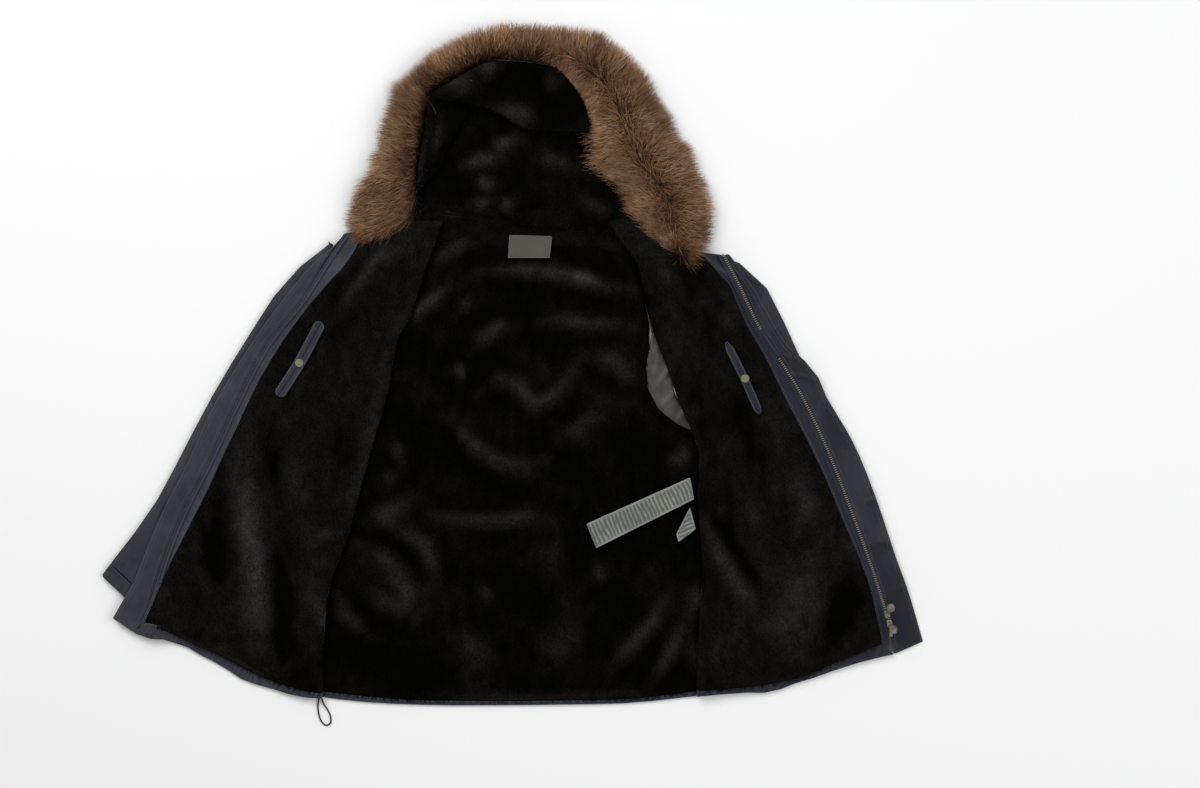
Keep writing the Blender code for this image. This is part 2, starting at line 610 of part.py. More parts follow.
def build_welt(side, parent):
    """A pocket welt on the front's lining, with the snap that closes it."""
    cut = WELTS[side]
    run = Vector(cut["line"][-1]) - Vector(cut["line"][0])
    across = Vector((-run.y, run.x)).normalized() * cut["width"] / 2
    left = tuple(tuple(Vector(p) - across) for p in cut["line"])
    right = tuple(tuple(Vector(p) + across) for p in cut["line"])
    welt = f"pocket_welt_{side}"
    lining = f"front_lining_{side}"
    sheet(welt, patch(left, right, rows=10, cols=2), (lining,), WELT, parent, NAVY_LIGHT)
    radius = SNAP_DIAMETER / 2 * MM
    centre = Vector(cut["snap"]) * MM
    turns = [math.radians(angle) for angle in range(0, 360, SNAP_TURN)]
    seat = max(top_at(centre.x + radius * share * math.cos(turn),
                      centre.y + radius * share * math.sin(turn), (welt, lining))
               for turn in turns for share in (0.0, 0.5, 1.0))
    bm = bmesh.new()
    place = Matrix.Translation((centre.x, centre.y, seat + SNAP_HEIGHT / 2 * MM))
    bmesh.ops.create_cone(bm, cap_ends=True, segments=SNAP_SIDES, radius1=radius,
                          radius2=radius * SNAP_CROWN, depth=SNAP_HEIGHT * MM, matrix=place)
    finish(f"pocket_snap_{side}", bm, BRONZE, METAL_ROUGHNESS, METALLIC, parent)


def build_hood(parent):
    """The hood's shell, its bowl of lining, the side panel and the crown folded over it."""
    left = moved(HOOD_LEFT, HOOD_INSET)
    right = moved(HOOD_RIGHT, -HOOD_INSET)
    top = (left[0],) + tuple((x, y - HOOD_INSET) for x, y in HOOD_TOP[1:-1]) + (right[0],)
    bottom = (left[-1],) + HOOD_BOTTOM[1:-1] + (right[-1],)
    sheet("hood_shell", patch(left, right, top, bottom, rows=8, cols=8), (), SHELL, parent, NAVY)

    def bowl(x, y):
        edge = min(distance_to(x, y, line) for line in (HOOD_LEFT, HOOD_TOP, HOOD_RIGHT))
        from_neck = distance_to(x, y, HOOD_BOTTOM)
        rise = HOOD_BOWL * math.exp(-(edge / HOOD_BOWL_WIDTH) ** 2)
        return rise * (1 - math.exp(-(from_neck / HOOD_NECK_WIDTH) ** 2))

    sheet("hood_lining", patch(left, right, top, bottom, rows=10, cols=11), ("hood_shell",),
          HOOD_PILE, parent, BLACK_PILE, folds=HOOD_FOLDS, swell=bowl)
    side = patch(moved(HOOD_LEFT[:-1], 2 * HOOD_INSET), SIDE_EDGE, rows=10, cols=3)
    sheet("hood_side_left", side, ("hood_lining",), HOOD_SIDE, parent, BLACK_PILE)
    crown_top = (CROWN_CORNER,) + tuple((x, y - 2 * HOOD_INSET) for x, y in HOOD_TOP[1:])
    crown_right = (crown_top[-1],) + CROWN_RIGHT + (CROWN_LIP[-1],)
    crown = patch((CROWN_CORNER, CROWN_LIP[0]), crown_right, crown_top, CROWN_LIP, rows=6, cols=11)
    sheet("hood_crown", crown, ("hood_lining", "hood_side_left"), HOOD_PILE, parent, BLACK_PILE,
          folds=CROWN_FOLDS, rise=lambda share: CROWN_LIFT * share * share)


def build_zip(parent):
    """The two zip tapes, the exposed row of teeth, both sliders and the bottom stop."""
    left = ZIP_LINE_LEFT[:-2]
    tape = patch(moved(left, TAPE_INSET), moved(left, TAPE_WIDTH), rows=20, cols=1)
    sheet("zip_tape_left", tape, ("facing_left",), TAPE, parent, NAVY)
    right = ZIP_LINE_RIGHT[:-1] + (ZIP_END,)
    carriers = ("facing_right", "storm_flap_right", "front_shell_right")
    tape = patch(moved(right, -TAPE_WIDTH), moved(right, TOOTH_WIDTH / 2 + TAPE_MARGIN),
                 rows=24, cols=2)
    sheet("zip_tape_right", tape, carriers, TAPE, parent, NAVY)
    toothed = ZIP_LINE_RIGHT[:-2] + (TEETH_END,)
    teeth = patch(moved(toothed, -TOOTH_WIDTH / 2), moved(toothed, TOOTH_WIDTH / 2), rows=24, cols=1)
    sheet("zip_teeth_right", teeth, ("zip_tape_right",), TOOTH_HEIGHT, parent, BRONZE,
          METAL_ROUGHNESS)


def prism(name, outline, along_run, colour, parent, bevel=0.0):
    """A flat outline of points pushed along a straight run."""
    bm = bmesh.new()
    face = bm.faces.new([bm.verts.new(p) for p in outline])
    pushed = bmesh.ops.extrude_face_region(bm, geom=[face])["geom"]
    moving = [part for part in pushed if isinstance(part, bmesh.types.BMVert)]
    bmesh.ops.translate(bm, verts=moving, vec=along_run)
    if bevel:
        bmesh.ops.bevel(bm, geom=bm.edges[:], offset=bevel, segments=2, affect="EDGES")
    return finish(name, bm, colour, METAL_ROUGHNESS, METALLIC, parent)


def leaf_outline():
    """Half widths of a pull tab along its length: a narrow neck that opens into a round leaf."""
    points = []
    for step in range(TAB_STEPS + 1):
        share = step / TAB_STEPS
        past_belly = max(0.0, (share - TAB_BELLY) / (1 - TAB_BELLY))
        round_end = math.sqrt(1 - past_belly ** 2)
        opening = min(1.0, max(0.0, (share - TAB_THROAT) / (TAB_BELLY - TAB_THROAT)))
        half = TAB_NECK / 2 + (TAB_WIDTH - TAB_NECK) / 2 * math.sin(opening * math.pi / 2) ** 2
        points.append((share * TAB_LENGTH - TAB_HEEL, half * round_end))
    return points


def build_sliders(parent):
    """Both sliders on the teeth, each with a bridge and the leaf-shaped tab that swings in it."""
    stack = ("zip_teeth_right", "zip_tape_right", "facing_right", "storm_flap_right")
    base = max(top_at(x * MM, y * MM, stack) for x in range(*SLIDER_AREA[0], SEAT_STEP)
               for y in range(*SLIDER_AREA[1], SEAT_STEP))
    run = Vector((math.cos(math.radians(ZIP_HEADING)), math.sin(math.radians(ZIP_HEADING)), 0.0))
    side = Vector((-run.y, run.x, 0.0))
    for label, slider in SLIDERS.items():
        place = Vector((*slider["place"], 0.0)) * MM + Vector((0, 0, base))
        outline = [place + run * a * SLIDER_LENGTH * MM + side * b * SLIDER_WIDTH * MM
                   for a, b in SLIDER_OUTLINE]
        prism(f"zip_slider_{label}", outline, (0, 0, SLIDER_HEIGHT * MM), BRONZE, parent,
              bevel=SLIDER_BEVEL * MM)

        # The bridge: a U across the tab's neck
        turn = math.radians(slider["turn"])
        lie = Vector((math.cos(turn), math.sin(turn), 0.0))
        axle = Vector((lie.y, -lie.x, 0.0))
        foot = place + Vector((0, 0, (SLIDER_HEIGHT + GAP) * MM))
        foot += run * slider["bridge"] * MM
        inside = TAB_NECK / 2 + HINGE_GAP
        outside = inside + LUG_THICKNESS
        section = [(-outside, 0), (outside, 0), (outside, LUG_HEIGHT), (inside, LUG_HEIGHT),
                   (inside, BRIDGE_FOOT), (-inside, BRIDGE_FOOT), (-inside, LUG_HEIGHT),
                   (-outside, LUG_HEIGHT)]
        start = foot - lie * LUG_LENGTH / 2 * MM
        prism(f"zip_bridge_{label}", [start + axle * a * MM + Vector((0, 0, z * MM))
                                      for a, z in section],
              lie * LUG_LENGTH * MM, BRONZE, parent)

        # The tab, with its origin on its hinge
        hinge = foot + Vector((0, 0, PIVOT_HEIGHT * MM))
        half = TAB_THICKNESS / 2 * MM
        leaf = leaf_outline()
        rim = leaf + [(reach, -width) for reach, width in reversed(leaf[:-1])]
        tab = prism(f"zip_tab_{label}", [lie * a * MM + axle * b * MM - Vector((0, 0, half))
                                         for a, b in rim],
                    (0, 0, TAB_THICKNESS * MM), BRONZE, parent,
                    bevel=TAB_BEVEL * MM)
        tab.location = hinge


def build_stop(parent):
    """The bottom stop of the zip."""
    centre = Vector((*ZIP_STOP, 0.0)) * MM
    stack = ("zip_tape_right", "facing_right", "storm_flap_right")
    seat = max(top_at(centre.x + dx * MM, centre.y + dy * MM, stack)
               for dx in (-STOP_SEAT, 0, STOP_SEAT) for dy in (-STOP_SEAT, 0, STOP_SEAT))
    bm = bmesh.new()
    place = Matrix.Translation(centre + Vector((0, 0, seat + STOP_HEIGHT / 2 * MM)))
    size = Matrix.Diagonal((STOP_WIDTH * MM, STOP_LENGTH * MM, STOP_HEIGHT * MM, 1.0))
    bmesh.ops.create_cube(bm, size=1.0, matrix=place @ size)
    bmesh.ops.bevel(bm, geom=bm.edges[:], offset=STOP_BEVEL * MM, segments=2, affect="EDGES")
    finish("zip_bottom_stop", bm, BRONZE, METAL_ROUGHNESS, METALLIC, parent)


def build_cord(parent):
    """The loop of drawcord that hangs out of the hem and lies on the floor."""
    curve = bpy.data.curves.new("hem_drawcord", "CURVE")
    curve.dimensions = "3D"
    curve.bevel_depth = CORD_DIAMETER / 2 * MM
    curve.bevel_resolution = 2
    curve.use_fill_caps = True
    points = along(CORD_ROUTE, CORD_POINTS)
    spline = curve.splines.new("POLY")
    spline.points.add(len(points) - 1)
    for knot, point in zip(spline.points, points):
        knot.co = (*point, 1.0)
    obj = bpy.data.objects.new("hem_drawcord", curve)
    bpy.data.collections["fur_trimmed_parka"].objects.link(obj)
    obj.parent = parent
    paint(obj, CORD_BLACK, CLOTH_ROUGHNESS, 0.0)


def main():
    for obj in list(bpy.data.objects):
        bpy.data.objects.remove(obj)
    collection = bpy.data.collections.new("fur_trimmed_parka")
    bpy.context.scene.collection.children.link(collection)
    parent = bpy.data.objects.new("parka_frame", None)
    parent.location = (FRAME_SHIFT[0] * MM, FRAME_SHIFT[1] * MM, 0.0)
    collection.objects.link(parent)

    sleeve("left", SLEEVE_LEFT, CUFF_LEFT_END, parent)
    sleeve("right", SLEEVE_RIGHT, CUFF_RIGHT_END, parent)
    build_back(parent)
    build_sleeve_lining(parent)
    build_hood(parent)
    fur("fur_trim_left", FUR_LEFT, (FUR_DEPTH_FOOT, FUR_DEPTH_EDGE), parent)
    fur("fur_trim_top", FUR_TOP, (FUR_DEPTH_EDGE, FUR_DEPTH_EDGE), parent)
    fur("fur_trim_right", FUR_RIGHT, (FUR_DEPTH_EDGE, FUR_DEPTH_FLAT), parent)
    build_front("left", ("sleeve_left", "cuff_left", "back_shell", "back_lining", "hem_band_back",
                         "hood_lining"), parent)
    build_front("right", ("sleeve_right", "cuff_right", "back_shell", "back_lining",
                          "hem_band_back", "hood_lining", "sleeve_lining_right", "carry_strap",
                          "carry_strap_end"), parent)
    for side in WELTS:
        build_welt(side, parent)
    build_zip(parent)
    build_sliders(parent)
    build_stop(parent)
    build_cord(parent)


main()
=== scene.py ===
import math

import bmesh
import bpy
import numpy as np
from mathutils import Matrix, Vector, noise
from mathutils.bvhtree import BVHTree


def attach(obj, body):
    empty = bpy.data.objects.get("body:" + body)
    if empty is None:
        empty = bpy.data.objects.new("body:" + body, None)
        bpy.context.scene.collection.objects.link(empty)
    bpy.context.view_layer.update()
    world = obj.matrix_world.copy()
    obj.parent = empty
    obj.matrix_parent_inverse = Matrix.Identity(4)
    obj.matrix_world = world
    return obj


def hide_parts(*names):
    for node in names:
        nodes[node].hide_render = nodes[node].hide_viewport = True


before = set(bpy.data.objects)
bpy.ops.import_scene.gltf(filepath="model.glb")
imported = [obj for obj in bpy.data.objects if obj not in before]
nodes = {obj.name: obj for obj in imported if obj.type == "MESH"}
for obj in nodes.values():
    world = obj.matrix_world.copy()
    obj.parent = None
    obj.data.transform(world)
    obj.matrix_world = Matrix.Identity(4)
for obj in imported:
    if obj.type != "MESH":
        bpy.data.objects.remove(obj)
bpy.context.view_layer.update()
mm = 0.001
fullTurn = 6.2832  # radians
print("frame loaded:", len(nodes), "nodes")

# The camera looks straight down
cameraSetup = {
    "middle": (0.1410, -0.0370),  # over the parka, a little to its right
    "width": 1.920,               # what the view spans at the lining's height
    "lens": 85.0,
    "sensor": 36.0,
    "height": 0.020,
}


def makeCamera(setup):
    data = bpy.data.cameras.new("camera")
    data.lens = setup["lens"]
    data.sensor_width = setup["sensor"]
    camera = bpy.data.objects.new("camera", data)
    distance = setup["width"] * setup["lens"] / data.sensor_width
    camera.location = (*setup["middle"], setup["height"] + distance)
    bpy.context.scene.collection.objects.link(camera)
    bpy.context.scene.camera = camera


makeCamera(cameraSetup)


# Helpers for node trees
def addNode(tree, kind, settings=None, values=None):
    # A value is a number, a colour or an output that feeds the input
    node = tree.nodes.new(kind)
    for key, value in (settings or {}).items():
        setattr(node, key, value)
    for key, value in (values or {}).items():
        feed(tree, value, node.inputs[key])
    return node


def feed(tree, value, socket):
    if isinstance(value, bpy.types.NodeSocket):
        tree.links.new(value, socket)
    elif value is not None:
        socket.default_value = value


def sums(tree, operation, a, b=None, c=None, clamp=False):
    node = addNode(tree, "ShaderNodeMath", {"operation": operation, "use_clamp": clamp})
    for value, socket in zip((a, b, c), node.inputs):
        feed(tree, value, socket)
    return node.outputs[0]


def mixed(tree, factor, a, b):
    node = addNode(tree, "ShaderNodeMix", {"data_type": "RGBA"})
    feed(tree, factor, node.inputs["Factor"])
    for value, socket in ((a, node.inputs[6]), (b, node.inputs[7])):
        feed(tree, (*value, 1.0) if isinstance(value, tuple) else value, socket)
    return node.outputs[2]


def ramp(tree, value, low, high):
    return addNode(tree, "ShaderNodeMapRange", {"interpolation_type": "SMOOTHSTEP"}, {
        "Value": value, "From Min": low, "From Max": high}).outputs[0]


def nodeGroup(name, kind, inputs, outputs):
    tree = bpy.data.node_groups.new(name, kind)
    for label, socketKind, value in inputs:
        socket = tree.interface.new_socket(name=label, in_out="INPUT", socket_type=socketKind)
        if value is not None:
            socket.default_value = value
    for label, socketKind in outputs:
        tree.interface.new_socket(name=label, in_out="OUTPUT", socket_type=socketKind)
    return tree, addNode(tree, "NodeGroupInput").outputs, addNode(tree, "NodeGroupOutput").inputs


def shaderGroup(name, numbers, outputs):
    inputs = [(label, "NodeSocketFloat", value) for label, value in numbers]
    return nodeGroup(name, "ShaderNodeTree", [("Vector", "NodeSocketVector", None), *inputs],
                     [(label, "NodeSocketFloat") for label in outputs])


def makeTwill():
    # Diagonal ribs of a twill or the cross ribs of a plain weave, with uneven yarns
    tree, given, out = shaderGroup("twillWeave", (
        ("Yarns per metre", 900.0), ("Slant", 1.0), ("Unevenness", 0.3)), ("Height", "Yarn shade"))
    place, yarns = given["Vector"], given["Yarns per metre"]
    parts = addNode(tree, "ShaderNodeSeparateXYZ", values={"Vector": place}).outputs
    slanted = sums(tree, "MULTIPLY_ADD", parts["Y"], given["Slant"], parts["X"])
    turns = sums(tree, "MULTIPLY", slanted, yarns)
    wobble = addNode(tree, "ShaderNodeTexNoise", values={"Vector": place, "Scale": 120.0, "Detail": 2.0})
    turns = sums(tree, "MULTIPLY_ADD", wobble.outputs[0], given["Unevenness"], turns)
    rib = sums(tree, "SINE", sums(tree, "MULTIPLY", turns, fullTurn))
    crossTurns = sums(tree, "MULTIPLY", parts["Y"], yarns)
    cross = sums(tree, "SINE", sums(tree, "MULTIPLY", crossTurns, fullTurn * 1.31))
    height = sums(tree, "MULTIPLY_ADD", cross, 0.35, rib)
    feed(tree, sums(tree, "MULTIPLY_ADD", height, 0.37, 0.5), out["Height"])
    stretch = addNode(tree, "ShaderNodeVectorMath", {"operation": "MULTIPLY"},
                      {0: place, 1: (1.0, 0.12, 1.0)})
    streak = addNode(tree, "ShaderNodeTexNoise", values={
        "Vector": stretch.outputs[0], "Scale": 260.0, "Detail": 3.0, "Roughness": 0.7})
    feed(tree, streak.outputs[0], out["Yarn shade"])
    return tree


def makeMottle():
    # Broad soft patches: cloth that has been handled; on the pile, stronger and weaker painted sheen where
    # the nap lies two ways
    tree, given, out = shaderGroup("softMottle", (
        ("Patches per metre", 12.0), ("Low", 0.35), ("High", 0.65)), ("Patch",))
    cloud = addNode(tree, "ShaderNodeTexNoise", values={
        "Vector": given["Vector"], "Scale": given["Patches per metre"], "Detail": 4.0,
        "Roughness": 0.55, "Distortion": 0.6})
    feed(tree, ramp(tree, cloud.outputs[0], given["Low"], given["High"]), out["Patch"])
    return tree


def makeRubbed():
    # Bright rubbed edges on metal and paler ridges on cloth
    tree, given, out = shaderGroup("rubbedEdges", (("Grain per metre", 900.0), ("Reach", 0.2)),
                                   ("Rubbed",))
    shape = addNode(tree, "ShaderNodeNewGeometry").outputs
    grain = addNode(tree, "ShaderNodeTexNoise", values={
        "Vector": given["Vector"], "Scale": given["Grain per metre"], "Detail": 3.0})
    kept = sums(tree, "MULTIPLY", ramp(tree, shape["Pointiness"], 0.5, 0.58), grain.outputs[0])
    feed(tree, sums(tree, "MULTIPLY_ADD", kept, 1.6, given["Reach"], clamp=True), out["Rubbed"])
    return tree


twillWeave = makeTwill()
softMottle = makeMottle()
rubbedEdges = makeRubbed()


def useGroup(tree, group, vector, values):
    return addNode(tree, "ShaderNodeGroup", {"node_tree": group}, {"Vector": vector, **values}).outputs


def patches(tree, solid, scale, low, high):
    return useGroup(tree, softMottle, solid, {"Patches per metre": scale, "Low": low, "High": high})["Patch"]


def rubs(tree, solid, grain, reach):
    return useGroup(tree, rubbedEdges, solid, {"Grain per metre": grain, "Reach": reach})["Rubbed"]


def solidPlace(tree):
    return addNode(tree, "ShaderNodeTexCoord").outputs["Object"]


def flatPlace(tree):
    return addNode(tree, "ShaderNodeUVMap", {"uv_map": "cloth"}).outputs[0]


def newMaterial(name, values):
    material = bpy.data.materials.new(name)
    material.use_nodes = True
    tree = material.node_tree
    shader = tree.nodes["Principled BSDF"].inputs
    for key, value in values.items():
        shader[key].default_value = value
    return material, tree, shader


def bumpFrom(tree, shader, height, strength, distance):
    bump = addNode(tree, "ShaderNodeBump", values={"Strength": strength, "Distance": distance,
                                                   "Height": height})
    feed(tree, bump.outputs[0], shader["Normal"])


def attribute(tree, name, output="Fac"):
    return addNode(tree, "ShaderNodeAttribute", {"attribute_name": name}).outputs[output]


# Materials, each with its own look
wovenCloths = {
    "navyShell": {"dark": (0.013, 0.014, 0.021), "light": (0.047, 0.051, 0.066), "yarns": 800.0,
                  "slant": 1.0, "uneven": 0.25, "rough": 0.62, "sheen": 0.06, "depth": 0.00022,
                  "specular": 0.12},
    "navyTape": {"dark": (0.014, 0.017, 0.026), "light": (0.034, 0.040, 0.055), "yarns": 1100.0,
                 "slant": 0.0, "uneven": 0.2, "rough": 0.75, "sheen": 0.1, "depth": 0.0002,
                 "specular": 0.12},
    "labelCloth": {"dark": (0.052, 0.049, 0.041), "light": (0.090, 0.084, 0.072), "yarns": 1300.0,
                   "slant": 0.0, "uneven": 0.3, "rough": 0.7, "sheen": 0.2, "depth": 0.00018,
                   "specular": 0.2},
    "ribbedWebbing": {"dark": (0.085, 0.093, 0.080), "light": (0.250, 0.265, 0.232),
                      "yarns": 900.0, "slant": 0.6, "uneven": 0.5, "rough": 0.78, "sheen": 0.25,
                      "depth": 0.0003, "specular": 0.2},
    "satinLining": {"dark": (0.010, 0.0092, 0.0082), "light": (0.050, 0.0465, 0.043), "yarns": 1500.0,
                    "slant": 0.15, "uneven": 0.2, "rough": 0.42, "sheen": 0.1, "depth": 0.0001,
                    "specular": 0.35},
    "navyThread": {"dark": (0.030, 0.034, 0.046), "light": (0.070, 0.078, 0.098), "yarns": 2200.0,
                   "slant": 0.7, "uneven": 0.2, "rough": 0.6, "sheen": 0.2, "depth": 0.0001,
                   "specular": 0.2},
    "paleThread": {"dark": (0.20, 0.21, 0.19), "light": (0.40, 0.42, 0.38), "yarns": 2200.0,
                   "slant": 0.7, "uneven": 0.2, "rough": 0.6, "sheen": 0.2, "depth": 0.0001,
                   "specular": 0.2},
}


def makeWoven(name, look):
    material, tree, shader = newMaterial(name, {
        "Roughness": look["rough"], "Sheen Weight": look["sheen"], "Sheen Roughness": 0.45,
        "Specular IOR Level": look["specular"]})
    solid = solidPlace(tree)
    weave = useGroup(tree, twillWeave, flatPlace(tree), {
        "Yarns per metre": look["yarns"], "Slant": look["slant"], "Unevenness": look["uneven"]})
    yarn = sums(tree, "MULTIPLY_ADD", weave["Yarn shade"], 0.4, 0.02, clamp=True)
    toneAndShading = sums(tree, "MULTIPLY_ADD", patches(tree, solid, 14.0, 0.3, 0.72), 0.45, yarn)
    toneAndShading = sums(tree, "MULTIPLY_ADD", weave["Height"], 0.3, toneAndShading)
    toneAndShading = sums(tree, "ADD", toneAndShading, -0.18)
    # Adds each piece's painted shading: painted shade in creases, gathers, grooves and between ribs, painted
    # highlights on crests and edges, and whole pieces painted darker on the right and lighter on the left,
    # as the light falls from the left
    toneAndShading = sums(tree, "ADD", toneAndShading, attribute(tree, "toneAndShading"), clamp=True)
    rubbed = tuple(min(1.0, c * 1.5) for c in look["light"])
    wear = sums(tree, "MULTIPLY", rubs(tree, solid, 400.0, 0.0), 0.6)
    colour = mixed(tree, wear, mixed(tree, toneAndShading, look["dark"], look["light"]), rubbed)
    feed(tree, colour, shader["Base Color"])
    rough = sums(tree, "MULTIPLY_ADD", weave["Yarn shade"], 0.25, look["rough"] - 0.12)
    feed(tree, rough, shader["Roughness"])
    bumpFrom(tree, shader, weave["Height"], 0.55, look["depth"])
    return material


# glow is the colour of the painted sheen, a highlight mixed into the pile's black
pileLook = {"root": (0.0008, 0.0007, 0.0006), "tip": (0.0019, 0.0017, 0.0014),
            "glow": (0.062, 0.0585, 0.051), "rough": 0.6, "specular": 0.004}


def makePile(name, look, hairs):
    material, tree, shader = newMaterial(name, {
        "Specular IOR Level": look["specular"], "Roughness": look["rough"]})
    solid = solidPlace(tree)
    patch = patches(tree, solid, 34.0, 0.3, 0.75)
    # The glow attribute is painted sheen: highlights mixed into the base colour, stronger and weaker in
    # patches
    glow = sums(tree, "MULTIPLY", attribute(tree, "glow"), sums(tree, "MULTIPLY_ADD", patch, 0.6, 0.6))
    if hairs:
        along = attribute(tree, "reach")
        own = sums(tree, "MULTIPLY_ADD", attribute(tree, "shade"), 0.7, 0.45)
        own = sums(tree, "MULTIPLY", own, sums(tree, "MULTIPLY_ADD", along, 0.5, 0.65))
    else:
        along = patches(tree, solid, 420.0, 0.25, 0.75)
        own = sums(tree, "MULTIPLY_ADD", along, 0.7, 0.3)
        bumpFrom(tree, shader, along, 0.6, 0.0008)
    lit = sums(tree, "MULTIPLY", glow, own, clamp=True)
    colour = mixed(tree, lit, mixed(tree, along, look["root"], look["tip"]), look["glow"])
    feed(tree, colour, shader["Base Color"])
    feed(tree, sums(tree, "MULTIPLY_ADD", patch, 0.2, look["rough"] - 0.1), shader["Roughness"])
    return material


furLook = {
    "root": (0.024, 0.010, 0.005), "middle": (0.130, 0.060, 0.028), "tip": (0.52, 0.31, 0.178),
    "darkPatch": (0.034, 0.015, 0.008), "rough": 0.55, "specular": 0.10, "sheen": 0.02,
}


def makeFur(name, look, hairs):
    material, tree, shader = newMaterial(name, {
        "Sheen Weight": look["sheen"], "Sheen Roughness": 0.4, "Roughness": look["rough"],
        "Specular IOR Level": look["specular"]})
    patch = patches(tree, solidPlace(tree), 30.0, 0.35, 0.65)
    if hairs:
        along, own, pale = (attribute(tree, label) for label in ("reach", "shade", "pale"))
        colour = mixed(tree, ramp(tree, along, 0.05, 0.55), look["root"], look["middle"])
        ends = ramp(tree, sums(tree, "MULTIPLY_ADD", own, 0.35, along), 0.62, 1.2)
        ends = sums(tree, "MULTIPLY", ends, sums(tree, "MULTIPLY_ADD", pale, 0.9, 0.35), clamp=True)
        colour = mixed(tree, ends, colour, look["tip"])
        tint = sums(tree, "SUBTRACT", 0.75, pale)
        tint = sums(tree, "MULTIPLY", tint, sums(tree, "MULTIPLY_ADD", own, 0.8, 0.4), clamp=True)
        colour = mixed(tree, sums(tree, "MULTIPLY", tint, 0.8), colour, look["darkPatch"])
    else:
        colour = mixed(tree, patch, look["root"], look["darkPatch"])
        bumpFrom(tree, shader, patch, 0.7, 0.004)
    feed(tree, colour, shader["Base Color"])
    feed(tree, sums(tree, "MULTIPLY_ADD", patch, 0.2, look["rough"] - 0.1), shader["Roughness"])
    return material


bronzeLook = {"dark": (0.030, 0.026, 0.022), "light": (0.085, 0.074, 0.061),
              "edge": (0.20, 0.175, 0.14), "rough": 0.44, "metal": 0.7}


def makeBronze(name, look):
    material, tree, shader = newMaterial(name, {"Metallic": look["metal"], "Specular IOR Level": 0.4})
    solid = solidPlace(tree)
    patch = patches(tree, solid, 260.0, 0.3, 0.7)
    colour = mixed(tree, patch, look["dark"], look["light"])
    colour = mixed(tree, rubs(tree, solid, 1500.0, 0.02), colour, look["edge"])
    feed(tree, colour, shader["Base Color"])
    feed(tree, sums(tree, "MULTIPLY_ADD", patch, -0.16, look["rough"] + 0.08), shader["Roughness"])
    bumpFrom(tree, shader, patch, 0.3, 0.0001)
    return material


cordLook = {"dark": (0.005, 0.005, 0.0055), "light": (0.028, 0.028, 0.030), "rough": 0.7}


def makeCordMaterial(name, look):
    material, tree, shader = newMaterial(name, {"Specular IOR Level": 0.25, "Sheen Weight": 0.1})
    place = flatPlace(tree)
    one, two = (useGroup(tree, twillWeave, place, {
        "Yarns per metre": 800.0, "Slant": slant, "Unevenness": 0.1})["Height"] for slant in (1.0, -1.0))
    braid = sums(tree, "MAXIMUM", one, two)
    feed(tree, mixed(tree, braid, look["dark"], look["light"]), shader["Base Color"])
    feed(tree, sums(tree, "MULTIPLY_ADD", braid, -0.2, look["rough"] + 0.1), shader["Roughness"])
    bumpFrom(tree, shader, braid, 0.8, 0.0003)
    return material


cloths = {name: makeWoven(name, look) for name, look in wovenCloths.items()}
pileTufts = makePile("pileTufts", pileLook, True)
pileGround = makePile("pileGround", pileLook, False)
furHair = makeFur("furHair", furLook, True)
furGround = makeFur("furGround", furLook, False)
agedBronze = makeBronze("agedBronze", bronzeLook)
cordBraid = makeCordMaterial("cordBraid", cordLook)
print("materials made")


# Shapes taken from the frame's nodes
def nodeArrays(name):
    mesh = nodes[name].data
    mesh.calc_loop_triangles()
    points = np.empty(len(mesh.vertices) * 3)
    mesh.vertices.foreach_get("co", points)
    corners = np.empty(len(mesh.loop_triangles) * 3, np.int32)
    mesh.loop_triangles.foreach_get("vertices", corners)
    return points.reshape(-1, 3), corners.reshape(-1, 3)


cadTrees = {}


def cadTree(name):
    if name not in cadTrees:
        points, corners = nodeArrays(name)
        cadTrees[name] = BVHTree.FromPolygons(points.tolist(), corners.tolist())
    return cadTrees[name]


def extents(u, v, edges, stations):
    # Lowest and highest u of a node where it is cut at each v
    low = []
    high = []
    first, second = edges[:, 0], edges[:, 1]
    for station in stations:
        crossing = (v[first] < station) != (v[second] < station)
        a, b = first[crossing], second[crossing]
        share = (station - v[a]) / (v[b] - v[a])
        cut = u[a] + (u[b] - u[a]) * share
        low.append(cut.min())
        high.append(cut.max())
    return np.array(low), np.array(high)


def edgesOf(corners):
    return np.concatenate([corners[:, [0, 1]], corners[:, [1, 2]], corners[:, [2, 0]]])


def headingWays(heading):
    # One way along a heading, in degrees from +X, and one to the right of it
    turn = math.radians(heading)
    run = np.array([math.cos(turn), math.sin(turn)])
    return run, np.array([run[1], -run[0]])


def slicedGrid(name, heading, rowGap, colGap, inset=0.0004):
    # Rows across the node, one after another along its heading, each from edge to edge
    points, corners = nodeArrays(name)
    run, across = headingWays(heading)
    v = points[:, :2] @ run
    u = points[:, :2] @ across
    start, end = v.min() + inset, v.max() - inset
    count = max(4, round((end - start) / rowGap))
    steps = np.concatenate([[0, 0.2, 0.5], np.arange(1, count), [count - 0.5, count - 0.2, count]])
    stations = start + (end - start) * steps / count
    low, high = extents(u, v, edgesOf(corners), stations)
    cols = max(3, round((high - low).max() / colGap))
    share = np.linspace(0, 1, cols + 1)
    uu = low[:, None] * (1 - share) + high[:, None] * share
    vv = np.repeat(stations[:, None], cols + 1, axis=1)
    x = uu * across[0] + vv * run[0]
    y = uu * across[1] + vv * run[1]
    return x, y, uu, vv


def rayHeights(trees, x, y, above=True):
    # Height of the highest face under each point, or of the lowest over it
    start, way = (1.0, Vector((0, 0, -1))) if above else (-1.0, Vector((0, 0, 1)))
    found = np.full(x.size, np.nan)
    for i, (px, py) in enumerate(zip(x.ravel().tolist(), y.ravel().tolist())):
        for tree in trees:
            hit = tree.ray_cast(Vector((px, py, start)), way)[0]
            if hit and not (found[i] > hit.z if above else found[i] < hit.z):
                found[i] = hit.z
    return found.reshape(x.shape)


